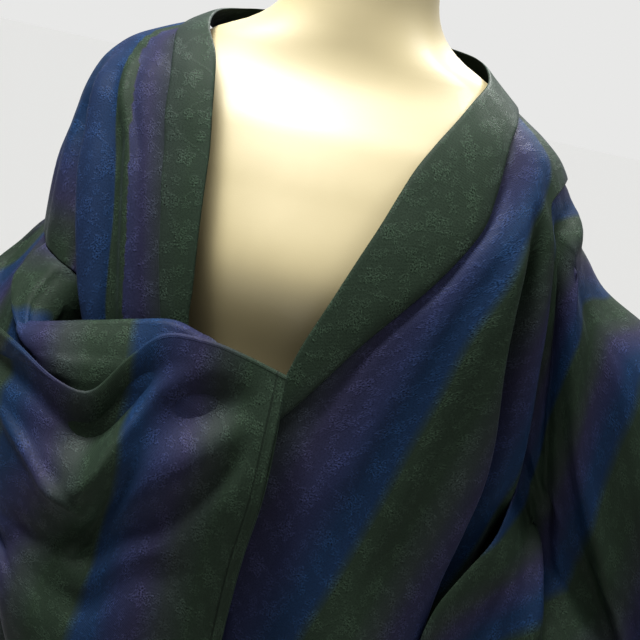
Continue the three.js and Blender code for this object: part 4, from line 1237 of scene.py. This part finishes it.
@dataclass
class CollarBand:
    """The collar: one long band, folded double, from hem to hem round the back of the neck."""

    left: tuple[Table, Table]
    right: tuple[Table, Table]
    columns: int = 22
    fine: int = 7
    swell: float = 0.9  # how far the middle rises over the edges
    sink: float = 0.5  # how far the edges sink
    lean: float = 0.25  # how far the free edge rises at the neck, as a share of the lift
    no_hem: float = 50.0  # added to the hem's distance, so that no hem line shows
    first_stripe: float = 0.37  # repeats at the seam
    slope: float = 0.5  # how much of the way across counts in the stripes
    wave: tuple[float, float] = (4.0, 170.0)  # the stripes' sway and its length over 2 pi

    @staticmethod
    def _half(skirt: Table, collar: Table) -> Table:
        """The seam and free edge of one half as angle and height, or as a free point."""
        low = Table("innerZ inner freeZ free", skirt.columns("innerZ seam innerZ free"))
        return joined("innerZ inner freeZ free freeX freeY", low, collar)

    def _row(self, side: Side, row: np.ndarray, lift: float) -> np.ndarray:
        """One cross row of the band, from its seam to its free edge.

        Args:
            side: the half's side.
            row: the row's seam and free edge.
            lift: height above the rings.

        Returns:
            The row's points.
        """
        seam_z, seam, free_z, free, free_x, free_y = row
        u = np.linspace(0, 1, self.columns)
        sign = side.value
        if np.isnan(free_x):
            return on_body(side, sign * mix(seam, free, u), mix(seam_z, free_z, u), lift)
        start = on_body(side, np.array([sign * seam]), np.array([seam_z]), lift)
        end = np.array([sign * free_x, free_y, free_z]) + np.array([0, 1, self.lean]) * lift
        return mix(start, end, u[:, None])

    def cloth(self) -> Cloth:
        """The band's grids, smooth along its length; its middle swells and its edges round off.

        Returns:
            The collar.
        """
        rows = [(Side.LEFT, row) for row in self._half(*self.left).rows]
        rows += [(Side.RIGHT, row) for row in self._half(*self.right).rows[:-1][::-1]]
        spans = len(rows) - 1
        at = np.linspace(0, spans, spans * self.fine + 1)
        low = CLEAR + CLOTH + LAYER
        outer, inner = (
            through(np.arange(len(rows)), [self._row(side, row, lift) for side, row in rows], at)
            for lift in (low + BAND, low)
        )
        u = np.linspace(0, 1, self.columns)[None, :, None]
        swell = self.swell * np.sin(np.pi * u) ** 0.6 - self.sink
        outer = outer + unit(outer - inner) * swell
        along = lengths_along(outer, 0)
        along = along.mean(1, keepdims=True) + 0 * along
        across = lengths_along(outer, 1)
        sway = self.wave[0] * np.sin(along / self.wave[1])
        stripe = self.first_stripe * STRIPE - across * self.slope + sway
        return Cloth("collar", outer, inner, stripe, across, along, across + self.no_hem)


def seam_pairs(
    side: Side, table: Table, edges: Sequence[Edge], at: np.ndarray
) -> tuple[np.ndarray, np.ndarray]:
    """A sleeve's edge at the body: the edge itself and a point one strip further out.

    Args:
        side: the sleeve's side.
        table: the body's rows that it is sewn to.
        edges: how it lies at each of them.
        at: row numbers with their fractions.

    Returns:
        Both lines of points.
    """
    inner_z, start, outer_z, end = row_at(table, PANEL, at)
    reach, lift, rise = (
        np.interp(at, np.arange(len(edges)), [getattr(edge, name) for edge in edges])
        for name in ("reach", "lift", "rise")
    )

    def place(u: np.ndarray, height: np.ndarray) -> np.ndarray:
        """Points at shares across the body's rows and heights above the rings."""
        return on_body(side, side.value * mix(start, end, u), mix(inner_z, outer_z, u), height)

    one = np.ones_like(at)
    length = np.linalg.norm(place(0.9 * one, 0 * one) - place(one, 0 * one), axis=-1) * 10
    return place(1 + reach / length, lift), place(1 + (reach + SEAM_STRIP) / length, lift + rise)


def sleeve_shares(columns: int) -> np.ndarray:
    """Shares across a sleeve from 0 to 1, a quarter of them close together at the cuff's hem.

    Args:
        columns: how many shares.

    Returns:
        Rising shares.
    """
    fine = columns // 4
    hem = 1 - 3 * CUFF_HEM / SLEEVE_WIDTH
    wide = np.linspace(0, hem, columns - fine, endpoint=False)
    return np.concatenate([wide, np.linspace(hem, 1, fine)])


@dataclass
class SleeveLayer:
    """One face of a sleeve, as a blend of its top, bottom, body edge and cuff edge."""

    edge: np.ndarray
    strip: np.ndarray
    face: SleeveFace
    columns: int
    seam_fade: float = 0.1  # share across by which the folds are complete
    cuff_fade: float = 0.93  # share across where they start to end
    bottom_fade: float = 0.9  # share down where they start to end
    ripple: float = 0.8  # millimetres
    crease: float = 0.7  # depth of the line at the cuff's turned edge
    crease_width: float = 1.2

    def _fold_heights(self, u: np.ndarray, h: np.ndarray, length: float) -> np.ndarray:
        """The folds as bells across their paths, and a slow ripple.

        Args:
            u: shares across.
            h: shares down.
            length: the body edge's length.

        Returns:
            Millimetres along the normal.
        """
        height = np.zeros(np.broadcast(u, h).shape)
        for fold in self.face.folds:
            run, side, size = (u, h, length) if fold.level else (h, u, SLEEVE_WIDTH)
            away = (side - through(fold.along, fold.across, run)) * size
            width = np.where(away < 0, fold.near, fold.far)
            start, end = fold.along[0], fold.along[-1]
            fade = ease(run, start - fold.fade, start + fold.fade)
            fade = fade * (1 - ease(run, end - fold.fade, end + fold.fade))
            height = height + fold.height * fade * np.exp(-((away / width) ** 2))
        return height + self.ripple * np.sin(u * 23 + h * 9) * np.sin(h * 14 - u * 5)

    def grid(self) -> np.ndarray:
        """The face's points, each row from the body's edge to the cuff.

        A point is (1-u) body edge + u cuff + (1-h) top + h bottom, less the blend of the four
        corners, where u is the share across and h the share down.

        Returns:
            The grid of points.
        """
        near, face = self.strip, self.face
        run = lengths_along(near, 0)
        h = (run / run[-1])[:, None]
        u = sleeve_shares(self.columns)[None, :]
        top = Curve(np.vstack([near[:1], face.top]))
        bottom = Curve(np.vstack([near[-1:], face.bottom]))
        cuff = Curve(np.vstack([top.points[-1:], face.cuff, bottom.points[-1:]]))
        hh, uu = h[..., None], u[..., None]
        blend = mix(near[:, None], cuff.at(h), uu) + mix(top.at(u), bottom.at(u), hh)
        ends = mix(top.points[-1], bottom.points[-1], hh)
        plain = blend - mix(mix(near[0], near[-1], hh), ends, uu)
        out = unit(np.cross(np.gradient(plain, axis=1), np.gradient(plain, axis=0))) * face.outward
        free = ease(u, 0, self.seam_fade) * (1 - ease(u, self.cuff_fade, 1))
        free = free * (1 - ease(h, self.bottom_fade, 1)) * ease(h, 0, face.soft_top)
        from_line = (1 - u) * SLEEVE_WIDTH - CUFF_HEM
        turned = -self.crease * np.exp(-((from_line / self.crease_width) ** 2))
        height = self._fold_heights(u, h, run[-1]) * free + turned
        return np.concatenate([self.edge[:, None], plain + out * height[..., None]], 1)


def sleeve_grid(
    side: Side, rows: Table, edges: Sequence[Edge], face: SleeveFace, columns: int, fine: int
) -> np.ndarray:
    """One face of a sleeve, sewn to the body's rows and then open down its edge.

    Args:
        side: the sleeve's side.
        rows: the body's rows, from the sleeve's top down.
        edges: how the sleeve lies at each of them.
        face: the lines round the face.
        columns: points across, without the sewn edge.
        fine: steps from one row to the next.

    Returns:
        The grid of points.
    """
    spans = len(edges) - 1
    edge, strip = seam_pairs(side, rows, edges, np.linspace(0, spans, spans * fine + 1))
    knots = np.array(face.opening, float)
    inward = knots + unit(np.array(face.towards, float) - knots) * SEAM_STRIP
    share = np.linspace(0, 1, OPEN_SPANS * fine + 1)[1:]
    edge, strip = (
        np.vstack([line, Curve(np.vstack([line[-1:], more])).at(share)])
        for line, more in ((edge, knots), (strip, inward))
    )
    return SleeveLayer(edge, strip, face, columns).grid()


def inside_of(grid: np.ndarray) -> np.ndarray:
    """A sleeve's loops moved inwards by the cloth's thickness, along the grid's normal.

    Args:
        grid: the outer face's points.

    Returns:
        The inner face's points.
    """
    along = np.empty_like(grid)
    along[1:-1] = grid[2:] - grid[:-2]
    along[0] = grid[1] - grid[0]
    along[-1] = grid[-1] - grid[-2]
    round_it = np.roll(grid, -1, 1) - np.roll(grid, 1, 1)
    return grid - unit(np.cross(round_it, along)) * CLOTH


@dataclass
class LeftSleeve:
    """The wearer's left sleeve, which hangs out to the side, open below its seam."""

    columns: int = 90
    fine: int = 5

    def cloth(self) -> Cloth:
        """The sleeve's loops: the front face down, then the back face up again.

        Returns:
            The sleeve.
        """
        body = joined(PANEL, LEFT_COLLAR, LEFT_BACK)
        end = [BESIDE, OVER]
        sewn = (
            (body.cut(0, RIDGE + 1, -1), [UNDER] * (RIDGE - 1) + end, LEFT_FRONT_FACE),
            (body.cut(RIDGE, LEFT_TACK), [UNDER] * (LEFT_TACK - RIDGE - 2) + end, LEFT_BACK_FACE),
        )
        front, back = (sleeve_grid(Side.LEFT, *face, self.columns, self.fine) for face in sewn)
        grid = np.concatenate([front, back[1:][::-1]], 0).transpose(1, 0, 2)
        maps = np.concatenate([self._map(front), self._map(back)[:, 1:][:, ::-1]], 1)
        across, along, stripe = maps.transpose(0, 2, 1)
        hem = across[-1:] - across
        return Cloth("sleeve_left", grid, inside_of(grid), stripe, across, along, hem, loop=True)

    @staticmethod
    def _map(points: np.ndarray) -> np.ndarray:
        """Places across and down, and in the stripes, which lean towards the body going down.

        The stripes start at 0.45 of a repeat, and a repeat takes 68 mm up to 170 mm from the
        body and its usual width past that.

        Args:
            points: a face's points.

        Returns:
            The distances across and down and the place in the stripes.
        """
        across = lengths_along(points, 1)
        down = lengths_along(points, 0)
        lean = across + 0.3 * down
        near = np.minimum(lean, 170)
        repeats = 0.45 + near / 68 + (lean - near) / STRIPE
        return np.stack([across, down, repeats * STRIPE])


@dataclass
class RightSleeve:
    """The wearer's right sleeve, swung to the front, with its top sagging between two lips."""

    columns: int = 96
    fine: int = 5
    between: int = 18
    first_stripe: float = 0.08  # repeats at the body's edge
    repeat: float = 122.0  # millimetres that a repeat takes across
    draw: int = 6  # how fast the pull towards the armhole dies away: (1 - u)^6

    def cloth(self) -> Cloth:
        """The sleeve's loops: outer face down, inner face up, then the sagging top.

        Returns:
            The sleeve.
        """
        body = joined(PANEL, RIGHT_COLLAR, RIGHT_BACK)
        back_edges = [UNDER] * (RIGHT_TACK - RIDGE - 3) + [BESIDE, OVER]
        front_edges = [BESIDE] + [ACROSS] * (RIGHT_FRONT_END - 1)
        sewn = (
            (body.cut(RIDGE + 1, RIGHT_TACK), back_edges, RIGHT_OUTER_FACE),
            (body.cut(0, RIGHT_FRONT_END, -1), front_edges, RIGHT_INNER_FACE),
        )
        outer, inner = (sleeve_grid(Side.RIGHT, *face, self.columns, self.fine) for face in sewn)
        points = np.concatenate([outer, inner[::-1], self._fall(outer[0], inner[0], body)], 0)
        across = lengths_along(points[:, ::-1], 1)[:, ::-1]
        stripe = self.first_stripe * STRIPE + across * STRIPE / self.repeat
        down = lengths_along(points, 0)
        down = down.mean(1, keepdims=True) + 0 * down
        grid = points.transpose(1, 0, 2)
        maps = (stripe.T, across.T, down.T, across.T)
        return Cloth("sleeve_right", grid, inside_of(grid), *maps, loop=True)

    def _fall(self, outer_top: np.ndarray, inner_top: np.ndarray, body: Table) -> np.ndarray:
        """The cloth that sags between the lips.

        Each row is (1-h)^2 inner lip + 2h(1-h) trough + h^2 outer lip, drawn at the body end
        onto the top of the armhole.

        Args:
            outer_top: the outer face's first row.
            inner_top: the inner face's first row.
            body: the body's rows.

        Returns:
            Rows from the inner lip to the outer one, without either.
        """
        h = (np.arange(self.between) + 1) / (self.between + 1)
        rows = body.cut(RIGHT_FRONT_END, RIDGE + 1)
        count = len(rows.rows)
        at = np.clip(h * (count + 1) - 1, 0, count - 1)
        edge, strip = seam_pairs(Side.RIGHT, rows, [UNDER] * count, at)
        u = sleeve_shares(self.columns)
        trough = Curve(np.array(RIGHT_TROUGH, float)).at(u)
        hh = h[:, None, None]
        hang = inner_top[1:] * (1 - hh) ** 2 + trough * 2 * hh * (1 - hh) + outer_top[1:] * hh**2
        pull = strip - hang[:, 0]
        hang = hang + pull[:, None] * ((1 - u) ** self.draw)[None, :, None]
        return np.concatenate([edge[:, None], hang], 1)


@dataclass
class DressForm:
    """The smooth limbless form under the coat, with a flat underside and neck top."""

    sides: int = 96
    rows: int = 120
    close: tuple[float, ...] = (0.001, 0.9, 0.985)  # widths of an end's rings, as shares
    round_off: float = 0.8  # millimetres from an end to its widest closing ring

    def build(self, material: bpy.types.Material) -> bpy.types.Object:
        """Ovals from the underside to the neck; both ends close in small rounded steps.

        Args:
            material: the form's finish.

        Returns:
            The form.
        """
        z = np.linspace(FORM["z"][0], FORM["z"][-1], self.rows)
        steps = len(self.close)
        pick = np.concatenate([[0] * steps, np.arange(1, self.rows - 1), [self.rows - 1] * steps])
        scale = np.concatenate([self.close, np.ones(self.rows - 2), self.close[::-1]])[:, None]
        drop = np.zeros((len(pick), 1))
        drop[steps - 1], drop[-steps] = self.round_off, -self.round_off
        side, front, back = (FORM.at(n, z)[pick][:, None] for n in ("side", "front", "back"))
        turn = 2 * np.pi * np.arange(self.sides) / self.sides
        x = side * np.sin(turn) * scale
        y = -np.where(np.cos(turn) > 0, front, back) * np.cos(turn) * scale
        verts = np.stack([x, y, z[pick][:, None] + drop + 0 * x], -1)
        faces = ring_quads(len(pick), self.sides)
        return make_object("form_cover", verts.reshape(-1, 3), faces, None, material)


@dataclass(frozen=True)
class Lamp:
    """A square soft light: its place and size in metres and its power in watts."""

    name: str
    place: tuple[float, float, float]
    size: float
    power: float


LAMPS = (
    Lamp("key", (-0.5, -0.42, 2.75), 0.6, 27),
    Lamp("fill", (0.85, -0.25, 2.7), 0.6, 7),
    Lamp("behind", (0.25, 1.25, 2.6), 0.8, 15),
)


@dataclass
class Studio:
    """The pale floor, the soft lights and the camera, in metres and degrees."""

    distance: float = 1.25
    target: tuple[float, float, float] = (0.019, 0.0, 1.117)
    azimuth: float = 4.0
    elevation: float = 10.0
    roll: float = 12.5
    focal_pixels: float = 1575.0
    image: float = 640.0  # the picture's width in pixels
    sensor: float = 36.0  # millimetres
    spread: float = 60.0
    lit: tuple[float, float, float] = (0.0, -0.1, 1.2)
    floor_reach: float = 40000.0  # millimetres from the middle to the floor's edge
    surround: Colour = (232, 232, 231)

    def build(self) -> None:
        """Makes the floor, the world, the lights and the camera."""
        self._floor()
        self._world()
        for lamp in LAMPS:
            self._light(lamp)
        self._camera()

    def _floor(self) -> None:
        """A wide pale plane under the stand."""
        far = self.floor_reach
        verts = np.array([[-far, -far, 0], [far, -far, 0], [far, far, 0], [-far, far, 0]])
        pale = PlainFinish("floor_pale", (252, 252, 251), 0.95, scale=1.0, mottle=0.0, relief=0.0)
        floor = make_object("floor", verts, np.array([[0, 1, 2, 3]]), None, pale.make())

    def _world(self) -> None:
        """An even pale surround, and colours shown as they are."""
        world = bpy.data.worlds.new("studio")
        world.use_nodes = True
        background = world.node_tree.nodes["Background"]
        background.inputs["Color"].default_value = (*linear(self.surround), 1)
        background.inputs["Strength"].default_value = 1.0
        bpy.context.scene.world = world
        bpy.context.scene.view_settings.view_transform = "Standard"

    def _light(self, lamp: Lamp) -> None:
        """Makes a lamp that looks at the coat.

        Args:
            lamp: its name, place, size and power.
        """
        data = bpy.data.lights.new(lamp.name, "AREA")
        data.size = lamp.size
        data.energy = lamp.power
        data.spread = np.radians(self.spread)
        light = bpy.data.objects.new(lamp.name, data)
        light.location = lamp.place
        aim = Vector(self.lit) - Vector(lamp.place)
        light.rotation_euler = aim.to_track_quat("-Z", "Y").to_euler()
        bpy.context.scene.collection.objects.link(light)

    def _camera(self) -> None:
        """Looks at the target from azimuth and elevation, turned about its own line of sight."""
        a, e, r = np.radians([self.azimuth, self.elevation, self.roll])
        back = np.array([np.sin(a) * np.cos(e), -np.cos(a) * np.cos(e), np.sin(e)])
        place = np.array(self.target) + self.distance * back
        right = unit(np.cross(-back, [0, 0, 1.0]))
        up = np.cross(right, -back)
        right, up = np.cos(r) * right + np.sin(r) * up, -np.sin(r) * right + np.cos(r) * up
        data = bpy.data.cameras.new("camera")
        data.sensor_width = self.sensor
        data.lens = self.focal_pixels / self.image * self.sensor
        data.clip_start, data.clip_end = 0.05, 100.0
        camera = bpy.data.objects.new("camera", data)
        turn = Matrix((right, up, back)).transposed().to_4x4()
        camera.matrix_world = Matrix.Translation(place) @ turn
        bpy.context.scene.collection.objects.link(camera)
        bpy.context.scene.camera = camera


class Hold(Enum):
    """How a sheet of cloth lies on what carries it."""

    DRAPED = "draped"
    HUNG = "hung"


@dataclass(frozen=True)
class Cut:
    """A piece's flat cut: its width and length in metres, how it is held and what carries it."""

    width: float
    length: float
    hold: Hold
    rests_on: tuple[str, ...]

    def declare(self, piece: bpy.types.Object, area: float) -> None:
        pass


CUTS = {
    "body_left": Cut(0.32, 1.9, Hold.DRAPED, ("form_cover",)),
    "body_right": Cut(0.32, 1.9, Hold.DRAPED, ("form_cover",)),
    "okumi_left": Cut(0.14, 0.64, Hold.HUNG, ("body_left_cloth",)),
    "okumi_right": Cut(0.14, 0.64, Hold.HUNG, ("body_right_cloth",)),
    "collar": Cut(0.055, 2.42, Hold.DRAPED, ("body_left_cloth", "body_right_cloth")),
    "sleeve_left": Cut(0.36, 1.14, Hold.HUNG, ("body_left_cloth",)),
    "sleeve_right": Cut(0.36, 1.14, Hold.HUNG, ("body_right_cloth",)),
}


def main() -> None:
    logging.basicConfig(level=logging.INFO, format="%(message)s")
    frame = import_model()
    silk = StripedSilk().make()
    pieces = [
        BodyPanel("body_left", Side.LEFT, LEFT_SKIRT, LEFT_COLLAR, LEFT_BACK).cloth(),
        BodyPanel("body_right", Side.RIGHT, RIGHT_SKIRT, RIGHT_COLLAR, RIGHT_BACK).cloth(),
        OverlapPanel("okumi_left", Side.LEFT, LEFT_SKIRT, LEFT_COLLAR).cloth(),
        OverlapPanel("okumi_right", Side.RIGHT, RIGHT_SKIRT, RIGHT_COLLAR).cloth(),
        CollarBand((LEFT_SKIRT, LEFT_COLLAR), (RIGHT_SKIRT, RIGHT_COLLAR)).cloth(),
        LeftSleeve().cloth(),
        RightSleeve().cloth(),
    ]
    built = {}
    for cloth in pieces:
        node = cloth.name
        cloth.name = f"{node}_cloth"
        piece = cloth.build(silk)
        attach(piece, "root")
        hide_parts(node)
        built[node] = (piece, cloth.area())
        LOG.info("%s: %d faces, %.4f m2", piece.name, len(piece.data.polygons), cloth.area())
    form = DressForm().build(PlainFinish("form_cream", (108, 99, 71), 0.5, coat=0.05).make())
    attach(form, "root")
    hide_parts("dress_form")
    LOG.info("form_cover: %d faces", len(form.data.polygons))
    for node, (piece, area) in built.items():
        CUTS[node].declare(piece, area)
    metal = PlainFinish("stand_steel", (138, 140, 144), 0.36, metallic=1.0).make()
    for name in ("pole", "base"):
        frame["nodes"][name].data.materials.clear()
        frame["nodes"][name].data.materials.append(metal)
    Studio().build()


if __name__ == "__main__":
    main()
